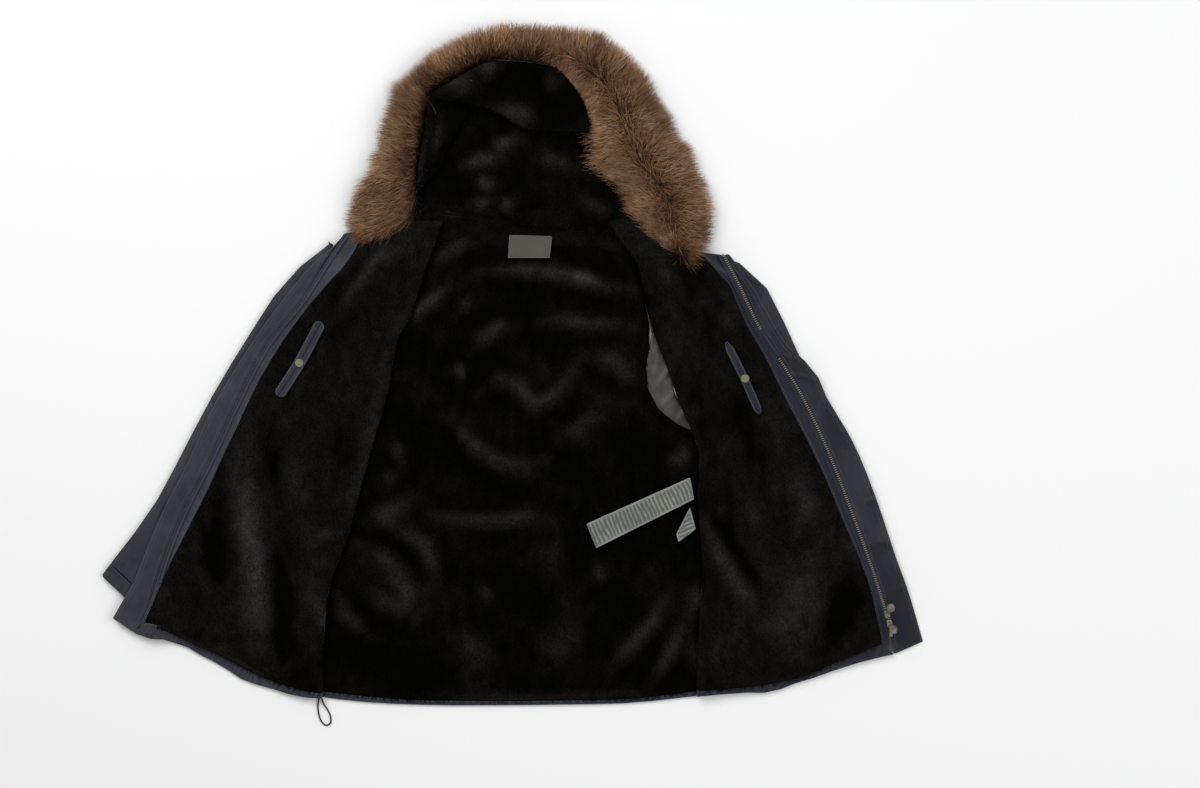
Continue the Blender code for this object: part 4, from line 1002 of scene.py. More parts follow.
# Sleeves and cuffs are flat padded tubes
def tubePiece(name, node, look):
    points, corners = nodeArrays(node)
    run, across = headingWays(look["heading"])
    v, u = points[:, :2] @ run, points[:, :2] @ across
    count = max(3, round((v.max() - v.min()) / look["gap"]))
    stations = np.linspace(v.min() + 0.0004, v.max() - 0.0004, count + 1)
    low, high = extents(u, v, edgesOf(corners), stations)
    deep = points[:, 2].max()
    sides = look["sides"]
    turn = 2 * np.pi * np.arange(sides) / sides
    # a rounded, flattened section: level below, fuller on top
    share = 0.5 - 0.5 * np.sign(np.cos(turn)) * np.abs(np.cos(turn)) ** 0.62
    lift = np.where(np.sin(turn) > 0, np.abs(np.sin(turn)) ** 0.8 * 0.58,
                    -np.abs(np.sin(turn)) ** 0.5 * 0.42)
    grids = []
    for scale, shrink in ((1.0, 0.0), (0.12, 0.006)):
        uu = (low + shrink)[:, None] + (high - low - 2 * shrink)[:, None] * share
        vv = np.repeat(stations[:, None], sides, axis=1)
        x, y = uu * across[0] + vv * run[0], uu * across[1] + vv * run[1]
        z = deep * (0.42 + lift * scale)[None, :] * np.ones(x.shape)
        if scale == 1.0:
            # Painted shading: the sleeve's tone value (the right sleeve painted darker), painted shade along
            # creases and painted highlight along crests
            toneAndShading = look.get("toneAndShading", 0.0) + glowField(x, y, look.get("paintedShading", ()))
            upper = np.clip(np.sin(turn), 0, 1)[None, :] ** 0.5
            z += upper * creaseField(x, y, look["creases"])
            swell, size, way = look["swell"] * mm, look["swellSize"], look["swellWay"]
            z += upper * swell * cloud(x, y, size, look["seed"], 2.2, way)
            z += upper * 0.35 * swell * cloud(x, y, size * 0.4, look["seed"] + 2, 1.6, way)
            z = np.maximum(z, 0.0003)
        grids.append((np.stack([x, y, z], axis=-1).reshape(-1, 3),
                      np.stack([uu + z, vv], axis=-1).reshape(-1, 2)))
    rows = count + 1
    skin = np.arange(rows * sides).reshape(rows, sides)
    nextSide = np.roll(skin, -1, axis=1)
    outer = np.stack([skin[:-1], nextSide[:-1], nextSide[1:], skin[1:]], axis=-1).reshape(-1, 4)
    inner = outer[:, ::-1] + rows * sides
    ends = [np.stack([nextSide[row], skin[row], skin[row] + rows * sides,
                      nextSide[row] + rows * sides], axis=1)[:, ::step]
            for row, step in ((0, 1), (-1, -1))]
    mesh = bpy.data.meshes.new(name)
    mesh.from_pydata(np.concatenate([grids[0][0], grids[1][0]]).tolist(), [],
                     np.concatenate([outer, inner, *ends]).tolist())
    flatLayer(mesh, np.concatenate([grids[0][1], grids[1][1]]))
    markPoints(mesh, "toneAndShading", "FLOAT", np.concatenate([toneAndShading.ravel(), toneAndShading.ravel()]))
    outwardFaces(mesh)
    mesh.shade_smooth()
    visualTrees[name] = BVHTree.FromPolygons([v.co for v in mesh.vertices],
                                             [p.vertices for p in mesh.polygons])
    return placed(newObject(name, mesh, cloths["navyShell"]), (node,))


# The tone values paint the right sleeve and cuff darker; the shading lines paint shade in creases and
# highlights along the sleeves
sleeves = {
    "sleeve_left": {
        "heading": -128, "gap": 0.005, "sides": 72, "swell": 1.6, "swellSize": 60, "swellWay": -115,
        "seed": 31.0, "creases": [
            (-2.6, 9, ((-384, 96), (-398, 66))), (-2.2, 8, ((-420, 38), (-436, 10))),
            (-2.4, 9, ((-452, -14), (-470, -40))), (-2.4, 9, ((-545, -214), (-566, -238))),
            (-2.6, 5, ((-492, -40), (-455, -60))), (2.2, 7, ((-610, -290), (-584, -330))),
            (-2.2, 6, ((-604, -300), (-596, -318))), (1.5, 6, ((-560, -200), (-530, -260)))],
        "paintedShading": [(-0.5, 6, ((-376, 91), (-414, 44), (-436, 14), (-455, -25))),
                    (-0.45, 5, ((-503, -151), (-524, -166), (-536, -193))),
                    (-0.45, 5, ((-538, -211), (-560, -233), (-570, -255))),
                    (-0.4, 2, ((-486, -42), (-461, -58))),
                    (0.2, 10, ((-350, 120), (-480, -60), (-600, -270)))]},
    "cuff_left": {
        "heading": -128, "gap": 0.002, "sides": 72, "swell": 0.8, "swellSize": 26, "swellWay": -40,
        "seed": 32.0, "creases": []},
    "sleeve_right": {
        "heading": -66, "gap": 0.005, "sides": 72, "swell": 1.6, "swellSize": 55, "swellWay": -66,
        "seed": 33.0, "creases": [
            (-3.0, 4, ((352, 154), (402, 134))), (1.8, 7, ((360, 170), (396, 140))),
            (-2.0, 8, ((430, 60), (452, 20)))], "toneAndShading": -0.15,
        "paintedShading": [(-0.5, 3, ((354, 154), (402, 133)))]},
    "cuff_right": {
        "heading": -66, "gap": 0.002, "sides": 72, "swell": 0.8, "swellSize": 26, "swellWay": 20,
        "seed": 34.0, "creases": [], "toneAndShading": -0.2},
}
for node, look in sleeves.items():
    tubePiece(node + "_cloth", node, look)
print("sleeves made")

# The fronts carry more painted sheen all over than the back (glowBase), so they are painted lighter
frontLook = {
    "gap": 0.0065, "ease": 8, "pileDepth": 3.0, "wall": 4.0, "swell": 1.4, "swellSize": 70,
    "swellWay": -75, "swirl": 0.25, "nap": -88, "glowBase": 0.10, "glowSpread": 0.11,
    "crest": 1.35, "breadth": 1.1,
}
hoodLook = {"gap": 0.0055, "swellSize": 42, "glowBase": 0.015, "glowSpread": 0.08, "crest": 1.1,
            "breadth": 1.3}
linings = {
    "back_lining": (backLook, ("front_shell_left", "front_shell_right")),
    "front_lining_left": ({
        **frontLook, "seed": 22.0, "nap": -96, "heading": -112, "folds": [
            (3, 20, 0.30, ((-434, -110), (-428, -190), (-416, -290), (-408, -390), (-412, -480))),
            (2, 14, 0.18, ((-430, -180), (-412, -300), (-402, -400))),
            (-2.5, 16, -0.10, ((-466, -170), (-474, -260), (-482, -400))),
            (-1.5, 12, -0.08, ((-384, -110), (-378, -200))),
            (-2, 22, -0.09, ((-366, -296), (-372, -420), (-360, -500))),
            (2, 22, 0.10, ((-352, -110), (-344, -230))),
            (3, 12, 0.22, ((-326, -356), (-302, -390), (-298, -424))),
            (2, 9, 0.14, ((-318, -268), (-284, -256))),
            (1.5, 11, 0.13, ((-198, 40), (-222, -90), (-248, -180), (-272, -254))),
            (3, 9, 0.22, ((-196, 204), (-226, 164), (-256, 124), (-276, 88))),
            (-2, 14, -0.05, ((-228, 190), (-258, 150), (-290, 96))),
            (2, 9, 0.12, ((-182, 204), (-208, 160))),
            (2, 10, 0.12, ((-500, -300), (-480, -380)))]}, ()),
    "front_lining_right": ({
        **frontLook, "seed": 23.0, "nap": -84, "heading": -70, "folds": [
            (4.5, 12, 0.28, ((312, -240), (334, -300), (356, -332), (380, -370), (396, -400))),
            (-4, 12, -0.12, ((300, -180), (314, -224), (352, -280), (392, -340), (404, -380))),
            (3, 16, 0.16, ((456, -160), (472, -210), (458, -256))),
            (3, 38, 0.17, ((474, -262), (462, -340), (440, -420), (424, -486))),
            (2, 16, 0.10, ((540, -250), (564, -324))),
            (-2.5, 18, -0.16, ((546, -336), (524, -390), (512, -434))),
            (2, 14, 0.14, ((346, 98), (332, 68))), (2, 10, 0.10, ((296, 128), (318, 100))),
            (-2, 18, -0.06, ((352, -20), (372, -90), (396, -160))),
            (2, 12, 0.10, ((372, -200), (404, -262))),
            (2, 9, 0.10, ((228, 190), (262, 130)))]}, ()),
    "hood_lining": ({
        **hoodLook, "ease": 6, "pileDepth": 3.0, "wall": 5.0, "swell": 1.3, "swellWay": 20,
        "seed": 24.0, "nap": -80, "swirl": 0.8, "folds": [
            (3, 8, 0.45, ((-79, 328), (-50, 338), (-19, 338))),
            (3, 8, 0.40, ((-30, 350), (-10, 366), (4, 372))), (3, 9, 0.22, ((41, 344), (101, 324))),
            (2, 9, 0.34, ((-59, 309), (-24, 294))), (3, 8, 0.34, ((-66, 266), (-34, 272))),
            (3, 9, 0.34, ((-19, 256), (2, 274))), (2, 8, 0.28, ((-110, 246), (-95, 258))),
            (3, 8, 0.20, ((106, 282), (134, 264), (161, 250))),
            (3, 7, 0.34, ((-80, 200), (-60, 214)))]}, ("hood_side_left",)),
    "hood_side_left": ({
        **hoodLook, "ease": 3, "pileDepth": 2.4, "wall": 3.0, "swell": 0.8, "swellWay": 80,
        "seed": 25.0, "nap": -100, "swirl": 0.4,
        "folds": [(2, 5, 0.16, ((-112, 410), (-124, 340))), (1.5, 4, 0.12, ((-140, 370), (-150, 290)))]},
        ("hood_crown",)),
    "hood_crown": ({
        **hoodLook, "ease": 4, "pileDepth": 3.0, "wall": 4.0, "swell": 1.2, "swellWay": 15,
        "seed": 26.0, "nap": -70, "swirl": 0.6, "folds": [
            (4, 12, 0.34, ((-109, 450), (-84, 460), (-58, 456))),
            (3, 10, 0.32, ((-52, 482), (-20, 484))), (-4, 6, -0.1, ((16, 468), (32, 446), (46, 474))),
            (3, 12, 0.30, ((-30, 412), (4, 410), (42, 402))), (3, 9, 0.16, ((56, 482), (70, 440)))]}, ()),
}
for seed, (node, (look, covers)) in enumerate(linings.items(), 41):
    growPile(node + "_pile", liningPiece(node + "_cloth", node, look, covers), seed)
print("linings made")


# The neck seam joins the hood's lining to the back's
def neckSeam():
    look = {"line": [(-206, 246), (-150, 230), (-74, 240), (-24, 229), (64, 230), (131, 222),
                     (180, 214), (205, 236)], "half": 30, "top": 8.5, "rows": 12, "columns": 70}
    line = smoothLine([(x, y, 0) for x, y in look["line"]], look["columns"] + 1)
    share = np.linspace(1, -1, look["rows"] + 1)[:, None]
    x = line[:, 0][None, :] + 0 * share
    fade = np.sin(np.pi * np.linspace(0.06, 0.94, look["columns"] + 1)) ** 0.4
    y = line[:, 1][None, :] + share * look["half"] * mm * fade
    top = (look["top"] + 1.2 * cloud(x, y, 30, 61.0)) * mm
    marks = {
        "cover": ("FLOAT", uncovered((x, y), ("front_shell_left", "front_shell_right", "hood_lining",
                                              "back_lining"), 0.004), 0.0),
        "comb": ("FLOAT_VECTOR", napWay(x, y, -85, 0.5, 61.0), 1.0),
        "long": ("FLOAT", np.ones(x.shape), 1.0),
        # a faint painted sheen all over
        "glow": ("FLOAT", np.full(x.shape, 0.05), 1.0),
    }
    base = shellPiece("neck_seam_cloth", (x, y, x, y), top, top - 4 * mm, pileGround, marks)
    placed(base)
    growPile("neck_seam_pile", base, 62)


neckSeam()


# Stitches and zip teeth
def unitMesh(name, size, bevel):
    shape = bmesh.new()
    bmesh.ops.create_cube(shape, size=1.0)
    for vert in shape.verts:
        vert.co = Vector([c * s for c, s in zip(vert.co, size)])
    if bevel:
        bmesh.ops.bevel(shape, geom=shape.edges[:], offset=bevel, segments=1, affect="EDGES")
    mesh = bpy.data.meshes.new(name)
    shape.to_mesh(mesh)
    shape.free()
    return bpy.data.objects.new(name, mesh)


stitchUnit = unitMesh("stitchUnit", (0.0024, 0.00055, 0.0004), 0.0)
toothUnit = unitMesh("toothUnit", (0.0019, 0.0044, 0.0022), 0.0004)


def sewnLine(name, lines, on, look):
    # Runs of stitches that follow lines over the pieces that they are sewn through
    points, edges = [], []
    for line in lines:
        line = np.array(line)
        height = rayHeights([visualTrees[n] for n in on], line[:, 0], line[:, 1])
        kept = ~np.isnan(height)
        start = len(points)
        points += [(px, py, pz + look["lift"]) for px, py, pz
                   in zip(line[kept, 0], line[kept, 1], height[kept])]
        edges += [(i, i + 1) for i in range(start, len(points) - 1)]
    mesh = bpy.data.meshes.new(name + "_line")
    mesh.from_pydata(points, edges, [])
    made = grown(name, mesh, rowTree, {"Pitch": look["pitch"], "Unit": look["unit"],
                                       "Size spread": look["spread"], "Material": look["material"],
                                       "Seed": 7}, smooth=look["smooth"])
    corner = np.empty(len(made.data.loops), np.int32)
    made.data.loops.foreach_get("vertex_index", corner)
    spots = np.empty(len(made.data.vertices) * 3)
    made.data.vertices.foreach_get("co", spots)
    if not made.data.uv_layers:
        flatLayer(made.data, spots.reshape(-1, 3)[:, :2])
    return placed(made)


navyStitch = {"lift": 0.00005, "pitch": 0.0034, "unit": stitchUnit, "spread": 0.1,
              "material": cloths["navyThread"], "smooth": True}
paleStitch = {**navyStitch, "material": cloths["paleThread"], "pitch": 0.0030}
teethLook = {"lift": 0.0009, "pitch": 0.0036, "unit": toothUnit, "spread": 0.03,
             "material": agedBronze, "smooth": False}


def sideLine(node, heading, offset, skip=(0.01, 0.01), gap=0.004, side="low"):
    # A line that keeps a set distance from one edge of a node
    x, y, uu, vv = slicedGrid(node, heading, gap, 1.0)
    run, across = headingWays(heading)
    edge = uu[:, 0] + offset if side == "low" else uu[:, -1] - offset
    kept = (vv[:, 0] > vv.min() + skip[0]) & (vv[:, 0] < vv.max() - skip[1])
    edge = eased(edge[:, None], 4)[:, 0]
    return np.stack([edge * across[0] + vv[:, 0] * run[0],
                     edge * across[1] + vv[:, 0] * run[1]], axis=1)[kept]


def arrow(points, count=60):
    return smoothLine([(x, y, 0) for x, y in points], count)[:, :2]


# Label, strap, welts, tapes and satin
# Per piece, the shading values paint the right-hand pieces darker and paint highlights along the edges
trimCloth = {
    "neck_label": ("label_cloth", "labelCloth", {
        "heading": -90, "gap": 0.0015, "wall": 0.7, "ease": 60, "lift": 3.0, "bend": 0.6,
        "over": ("back_lining_cloth", "neck_seam_cloth"), "clear": 4.0,
        "edgeHighlight": 0.45, "seed": 71.0}),
    "carry_strap": ("ribbed_webbing", "ribbedWebbing", {
        "heading": 24.2, "gap": 0.0009, "across": 0.0015, "wall": 1.6, "ease": 60, "lift": 3.6,
        "bend": 1.0, "ribs": (0.8, 6.6), "selvedge": 2.6, "edgeHighlight": 0.1, "seed": 72.0}),
    "carry_strap_end": ("ribbed_webbing", "ribbedWebbing", {
        "heading": -66, "gap": 0.0009, "across": 0.0012, "wall": 1.6, "ease": 40, "lift": 3.2,
        "bend": 0.6, "ribs": (0.6, 6.6), "selvedge": 2.0, "edgeHighlight": 0.1, "seed": 73.0,
        "creases": [(1.4, 2.2, ((263, -252), (296, -246)))]}),
    "pocket_welt_left": ("navy_shell", "navyShell", {
        "heading": -120.3, "gap": 0.002, "across": 0.0012, "wall": 2.0, "ease": 6, "lift": 1.0,
        "bend": 0.6, "edgeHighlight": 0.4, "seed": 74.0, "groove": 0.9, "taper": (5, 5)}),
    "pocket_welt_right": ("navy_shell", "navyShell", {
        "heading": -64.7, "gap": 0.002, "across": 0.0012, "wall": 2.0, "ease": 6, "lift": 1.0,
        "bend": 0.6, "edgeHighlight": 0.2, "seed": 75.0, "groove": 0.7, "taper": (16, 9), "toneAndShading": -0.15}),
    "zip_tape_left": ("zip_tape", "navyTape", {
        "heading": -119, "gap": 0.003, "across": 0.0012, "wall": 0.9, "ease": 8, "lift": 0.3,
        "bend": 0.3, "coil": 1.5, "seed": 76.0}),
    "zip_tape_right": ("zip_tape", "navyTape", {
        "heading": -66, "gap": 0.003, "across": 0.0012, "wall": 0.9, "ease": 8, "lift": 0.2,
        "bend": 0.3, "seed": 77.0, "toneAndShading": -0.45, "creases": [
            (3.2, 3.2, ((397, 66), (412, 44), (428, 22))),
            (8.5, 14, ((590, -364), (599, -391), (608, -421)))]}),
}


def trimPiece(name, node, material, look):
    grid = slicedGrid(node, look["heading"], look["gap"], look.get("across", look["gap"]))
    x, y, uu, vv = grid
    if "taper" in look:
        middle = (uu[:, :1] + uu[:, -1:]) / 2
        first, last = (np.clip(v / (t * mm), 0.1, 1) ** 0.5
                       for v, t in zip((vv - vv.min(), vv.max() - vv), look["taper"]))
        turn = math.radians(look["heading"])
        shift = (middle - uu) * (1 - first * last)
        x, y, uu = x + shift * math.sin(turn), y - shift * math.cos(turn), uu + shift
        grid = (x, y, uu, vv)
    top = eased(filled(rayHeights([cadTree(node)], x, y)), look["ease"])
    top += look["lift"] * mm + look["bend"] * mm * cloud(x, y, 35, look["seed"])
    if "over" in look:
        below = rayHeights([visualTrees[n] for n in look["over"]], x, y)
        top = eased(np.fmax(top, below + look["clear"] * mm), 2)
    top += creaseField(x, y, look.get("creases", ()))
    low, high = uu[:, :1], uu[:, -1:]
    edge = np.minimum(uu - low, high - uu)
    edge = np.minimum(edge, np.minimum(vv - vv.min(), vv.max() - vv))
    # the piece's tone value: painted shade, darker on the right-hand pieces
    toneAndShading = np.full(x.shape, look.get("toneAndShading", 0.0))
    if "ribs" in look:
        height, pitch = look["ribs"]
        drift = 0.35 * cloud(x, y, 24, look["seed"]) + 0.12 * cloud(x, y, 7, look["seed"] + 4)
        wave = 0.5 + 0.5 * np.cos(fullTurn * (vv / (pitch * mm) + drift))
        wave *= 0.8 + 0.5 * cloud(x, y, 9, look["seed"] + 6)
        inner = np.clip((np.minimum(uu - low, high - uu) / mm - look["selvedge"]) / 0.8, 0, 1)
        wave = np.clip(wave, 0, 1)
        top += height * mm * inner * wave ** 0.6
        # painted shade between the ribs, lighter on their tops
        toneAndShading += inner * (wave ** 0.7 - 0.7) * 1.2
    if "groove" in look:
        middle = np.abs(uu - (low + high) / 2) / mm
        top -= look["groove"] * mm * np.exp(-(middle / 1.1) ** 2)
        # painted shade in the welt's groove
        toneAndShading -= 0.8 * np.exp(-(middle / 1.3) ** 2)
    if "coil" in look:
        first = (uu - low) / mm
        ridge = np.exp(-((first - 2.2) / 1.6) ** 2)
        top += look["coil"] * mm * ridge
        # painted highlight on the ridge and painted shade beside it
        toneAndShading += 0.5 * ridge - 0.5 * np.exp(-((first - 5.5) / 1.2) ** 2)
    if "edgeHighlight" in look:
        hem = np.exp(-(edge / (1.3 * mm)) ** 2)
        # painted highlight along the edges
        toneAndShading += look["edgeHighlight"] * hem
        top += 0.25 * mm * hem
    marks = {"toneAndShading": ("FLOAT", toneAndShading, 1.0)}
    obj = shellPiece(name, grid, top, top - look["wall"] * mm, cloths[material], marks)
    return placed(obj, (node,))


for node, (slot, material, look) in trimCloth.items():
    trimPiece(node + "_cloth", node, material, look)


satinLook = {
    "gap": 0.003, "spread": 9.0, "wall": 1.6, "seed": 81.0, "darkAbove": 0.088,
    "toneAndShading": -0.1, "level": 4.6, "least": 4.4, "bulgeAt": -0.035, "bulgeReach": 0.045,
    "fade": 0.02, "creases": [
        (3.0, 5, ((262, 20), (232, -30))), (3.2, 6, ((272, -20), (238, -62))),
        (3.0, 5, ((292, -42), (262, -88))), (2.6, 5, ((232, 40), (222, -10))),
        (2.6, 6, ((300, -70), (285, -100)))],
    "paintedShading": [(-0.5, 4, ((262, 10), (240, -20), (238, -50))), (-0.45, 4, ((282, -34), (256, -70))),
                (-0.4, 3, ((222, 14), (242, 10))), (0.35, 9, ((246, 0), (236, -40), (262, -80))),
                (-0.5, 6, ((300, -60), (290, -100)))]}


def satinPiece(look):
    grid = slicedGrid("sleeve_lining_right", -90, look["gap"], look["gap"])
    x, y, uu, vv = grid
    share = (uu - uu[:, :1]) / (uu[:, -1:] - uu[:, :1])
    inward = (1 - share) if x[0, 0] < x[0, -1] else share
    bulge = np.exp(-((y - look["bulgeAt"]) / look["bulgeReach"]) ** 2)
    x = x - look["spread"] * mm * inward ** 3 * (0.3 + 0.7 * bulge)
    top = look["level"] * mm + 0.9 * mm * cloud(x, y, 22, look["seed"], 2.2, 55)
    top += creaseField(x, y, look["creases"])
    top = np.maximum(top, look["least"] * mm)
    shaded = np.clip((y - look["darkAbove"]) / look["fade"], 0, 1)
    # Painted shading: the tone value, painted shade along creases, painted highlights on crests, and painted
    # shade darker towards the top
    toneAndShading = look["toneAndShading"] + glowField(x, y, look["paintedShading"]) - 0.45 * shaded
    obj = shellPiece("sleeve_satin_cloth", (x, y, uu, vv), top, top - look["wall"] * mm,
                     cloths["satinLining"], {"toneAndShading": ("FLOAT", toneAndShading, 1.0)})
    return placed(obj, ("sleeve_lining_right",))


satinPiece(satinLook)

teethRoute = slicedGrid("zip_teeth_right", -66, 0.004, 1.0)
teethLine = eased(((teethRoute[0][:, 0] + teethRoute[0][:, -1]) / 2)[:, None], 3)[:, 0]
teethRows = np.stack([teethLine, (teethRoute[1][:, 0] + teethRoute[1][:, -1]) / 2], axis=1)
upperTeeth = teethRows[teethRows[:, 1] >= 0.066]
lowerTeeth = teethRows[teethRows[:, 1] <= 0.022]
zipTeeth = sewnLine("zip_teeth_row", [upperTeeth, lowerTeeth], ["zip_tape_right_cloth"], teethLook)
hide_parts("zip_teeth_right")

def bothSides(node, heading, offset, skip=0.01):
    return [sideLine(node, heading, offset, (skip, skip), side=side) for side in ("low", "high")]


sewing = {  # lines, the pieces that they are sewn through, the stitch and its slot
    "flap_stitches": (
        [*bothSides("storm_flap_left", -120, 0.006), *bothSides("storm_flap_right", -65, 0.006)],
        ["storm_flap_left_cloth", "storm_flap_right_cloth"], navyStitch, "navy_shell"),
    "facing_stitches": (
        [*bothSides("facing_left", -120, 0.003), *bothSides("facing_right", -65, 0.003)],
        ["facing_left_cloth", "facing_right_cloth"], navyStitch, "navy_shell"),
    "welt_stitches": (
        [*bothSides("pocket_welt_left", -120.3, 0.0016, 0.003),
         *bothSides("pocket_welt_right", -64.7, 0.0014, 0.003)],
        ["pocket_welt_left_cloth", "pocket_welt_right_cloth"], navyStitch, "navy_shell"),
    "strap_stitches": (
        [*bothSides("carry_strap", 24.2, 0.0018, 0.004),
         sideLine("carry_strap_end", -66, 0.0014, (0.003, 0.003))],
        ["carry_strap_cloth", "carry_strap_end_cloth"], paleStitch, "ribbed_webbing"),
    "sleeve_stitches": (
        [arrow([(-645, -312), (-612, -342)]), arrow([(-642, -308), (-609, -338)]),
         arrow([(-485, -41), (-461, -58)]), arrow([(-318, 189), (-344, 164)]),
         arrow([(-322, 186), (-348, 161)]), arrow([(357, 152), (401, 133)])],
        ["sleeve_left_cloth", "cuff_left_cloth", "sleeve_right_cloth"], navyStitch, "navy_shell"),
}
for name, (lines, on, look, slot) in sewing.items():
    sewnLine(name, lines, on, look)
print("trim made")


# Fur trim
furTrim = {
    "middle": (21, 309), "step": 0.0075, "across": 16, "inset": -0.04, "reach": 0.76,
    "height": 0.56, "least": 3, "most": 50, "endInset": 0.02, "endStretch": 0.3, "growth": {
        "Hairs per square metre": 640000.0, "Length": 0.041, "Length spread": 0.5, "Lean": 0.64,
        "Disorder": 0.26, "Clumps per metre": 80.0, "Clumping": 0.45},
}


def furPiece(node, look, part, sweep, spare, pales, seed):
    # part is the share across the band where the hairs part: below it they comb inwards.
    # spare is how far the fur runs on past each end, in radians, over what lies there
    points, corners = nodeArrays(node)
    centre = np.array(look["middle"]) * mm
    flat = points[:, :2] - centre
    angles = np.arctan2(flat[:, 1], flat[:, 0])
    base = math.atan2(*flat.mean(axis=0)[::-1])
    turned = (angles - base + np.pi) % (2 * np.pi) - np.pi
    radius = np.linalg.norm(flat, axis=1).mean()
    count = round((turned.max() - turned.min()) * radius / look["step"])
    low, high = [], []
    stations = np.linspace(turned.min() + look["endInset"], turned.max() - look["endInset"], count + 1)
    edges = edgesOf(corners)
    for station in stations:
        turn = station + base
        u = flat[:, 0] * math.cos(turn) + flat[:, 1] * math.sin(turn)
        v = flat[:, 1] * math.cos(turn) - flat[:, 0] * math.sin(turn)
        near = edges[(u[edges[:, 0]] > 0) & (u[edges[:, 1]] > 0)]
        a, b = extents(u, v, near, [0.0])
        low.append(a[0])
        high.append(b[0])
    wide = np.concatenate([stations[0] - spare[0] * np.array([1, 0.75, 0.5, 0.25]), stations,
                           stations[-1] + spare[1] * np.array([0.25, 0.5, 0.75, 1])])
    inner = (wide[0] + look["endStretch"], wide[-1] - look["endStretch"])
    source = np.interp(wide, (wide[0], *inner, wide[-1]), (stations[0], *inner, stations[-1]))
    low = eased(np.interp(source, stations, low)[:, None], 3)
    high = eased(np.interp(source, stations, high)[:, None], 3)
    share = np.linspace(0, 1, look["across"] + 1)[None, :]
    spot = look["inset"] + (look["reach"] - look["inset"]) * share
    far = low + (high - low) * spot
    turn = (wide + base)[:, None]
    x = centre[0] + far * np.cos(turn)
    y = centre[1] + far * np.sin(turn)
    envelope = filled(rayHeights([cadTree(node)], x, y))
    envelope = eased(envelope, 6)
    least = look["least"] * mm
    top = np.maximum(envelope * look["height"] * (1 + 0.12 * cloud(x, y, 28, seed)), least)
    under = rayHeights([visualTrees[n] for n in furRests], x, y)
    top = np.where(np.isnan(under), top, np.maximum(top, under + least))
    top = np.minimum(eased(top, 2), look["most"] * mm)
    bottom = np.where(np.isnan(under), 0.6 * mm, under - 1 * mm)
    radial = np.stack([np.cos(turn) + 0 * x, np.sin(turn) + 0 * x, 0 * x], axis=-1)
    tangent = np.stack([-np.sin(turn) + 0 * x, np.cos(turn) + 0 * x, 0 * x], axis=-1)
    side = np.clip((spot + 0 * x - part) / 0.16, -1, 1)[..., None]
    swirl = (sweep + 0.45 * cloud(x, y, 45, seed + 4) + 0.3 * cloud(x, y, 18, seed + 5))[..., None]
    comb = radial * side + tangent * swirl
    pale = 0.45 + 0.5 * cloud(x, y, 30, seed + 6) + 0.4 * cloud(x, y, 11, seed + 8)
    pale += glowField(x, y, pales)
    room = np.where(side[..., 0] > 0, 1.0, 0.85)
    marks = {
        "cover": ("FLOAT", np.ones(x.shape), 0.0),
        "comb": ("FLOAT_VECTOR", comb, 1.0),
        "long": ("FLOAT", room * (0.95 + 0.2 * cloud(x, y, 26, seed + 9)), 1.0),
        "pale": ("FLOAT", np.clip(pale, 0, 1), 1.0),
    }
    grid = (x, y, far, np.repeat(wide[:, None] * radius, look["across"] + 1, axis=1))
    ground = shellPiece(node + "_ground", grid, top, bottom, furGround, marks, rimOut=0.02)
    placed(ground, (node,))
    values = {**look["growth"], "Strands": furStrands, "Material": furHair, "Seed": int(seed)}
    hair = grown(node + "_hair", ground.data.copy(), hairTree, values)
    placed(hair)


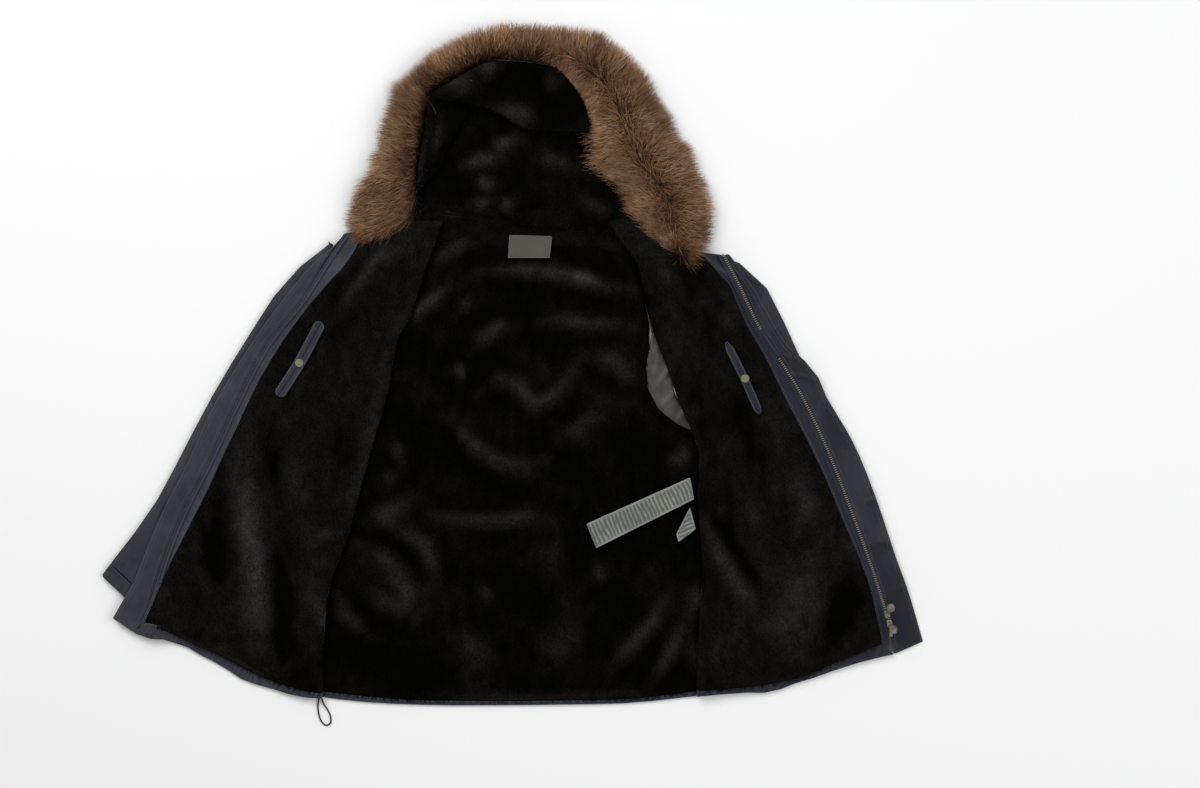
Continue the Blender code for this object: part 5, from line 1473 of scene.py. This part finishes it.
furRests = ("front_lining_left_cloth", "front_lining_right_cloth", "facing_left_cloth",
            "facing_right_cloth", "storm_flap_right_cloth", "hood_side_left_cloth")
furPieces = {  # where the hairs part, their sweep, how far each end runs on, and paler places
    "fur_trim_left": (-0.15, 0.1, (0.09, 0.09), [(0.3, 20, ((-200, 400), (-230, 300)))]),
    "fur_trim_top": (-0.15, -0.1, (0.09, 0.09), [(0.3, 20, ((-100, 480), (20, 510)))]),
    "fur_trim_right": (0.42, 0.15, (0.07, 0.09), [
        (0.35, 22, ((140, 410), (160, 380), (200, 370))), (-0.5, 18, ((190, 430), (220, 425))),
        (-0.45, 16, ((221, 375), (241, 372))), (-0.4, 16, ((165, 445), (175, 450)))]),
}
for seed, (node, (part, sweep, spare, pales)) in enumerate(furPieces.items(), 51):
    furPiece(node, furTrim, part, sweep, spare, pales, seed)
print("fur made")


# The floor and the lights
roomLook = {
    "colour": (0.80, 0.80, 0.803), "half": 6, "drop": 0.0005, "sky": 0.44,
    "lamps": {  # where each stands, its side and its power
        "keyLight": ((-1.3, 1.9, 3.0), 2.2, 92.0), "fillLight": ((2.3, -0.3, 3.2), 2.4, 62.0)},
}


def makeRoom(look):
    half = look["half"]
    mesh = bpy.data.meshes.new("floor")
    mesh.from_pydata([(-half, -half, 0), (half, -half, 0), (half, half, 0), (-half, half, 0)], [],
                     [(0, 1, 2, 3)])
    material, tree, shader = newMaterial("paleFloor", {
        "Base Color": (*look["colour"], 1.0), "Roughness": 0.9, "Specular IOR Level": 0.1})
    floor = newObject("floor", mesh, material)
    floor.location.z = -look["drop"]
    world = bpy.data.worlds.new("studio")
    world.use_nodes = True
    sky = world.node_tree.nodes["Background"].inputs
    sky["Color"].default_value = (1.0, 1.0, 1.0, 1.0)
    sky["Strength"].default_value = look["sky"]
    bpy.context.scene.world = world
    for name, (place, side, power) in look["lamps"].items():
        data = bpy.data.lights.new(name, "AREA")
        data.shape = "SQUARE"
        data.size = side
        data.energy = power
        lamp = bpy.data.objects.new(name, data)
        lamp.location = place
        lamp.rotation_euler = (-Vector(place)).to_track_quat("-Z", "Y").to_euler()
        lamp.visible_camera = False
        bpy.context.scene.collection.objects.link(lamp)
    bpy.context.scene.view_settings.view_transform = "Standard"


makeRoom(roomLook)

# Hard pieces keep the frame's shapes and take the metal
hardware = [f"zip_{part}_{place}" for part in ("slider", "bridge", "tab") for place in ("upper", "lower")]
for name in (*hardware, "zip_bottom_stop", "pocket_snap_left", "pocket_snap_right"):
    mesh = nodes[name].data
    mesh.materials.clear()
    mesh.materials.append(agedBronze)
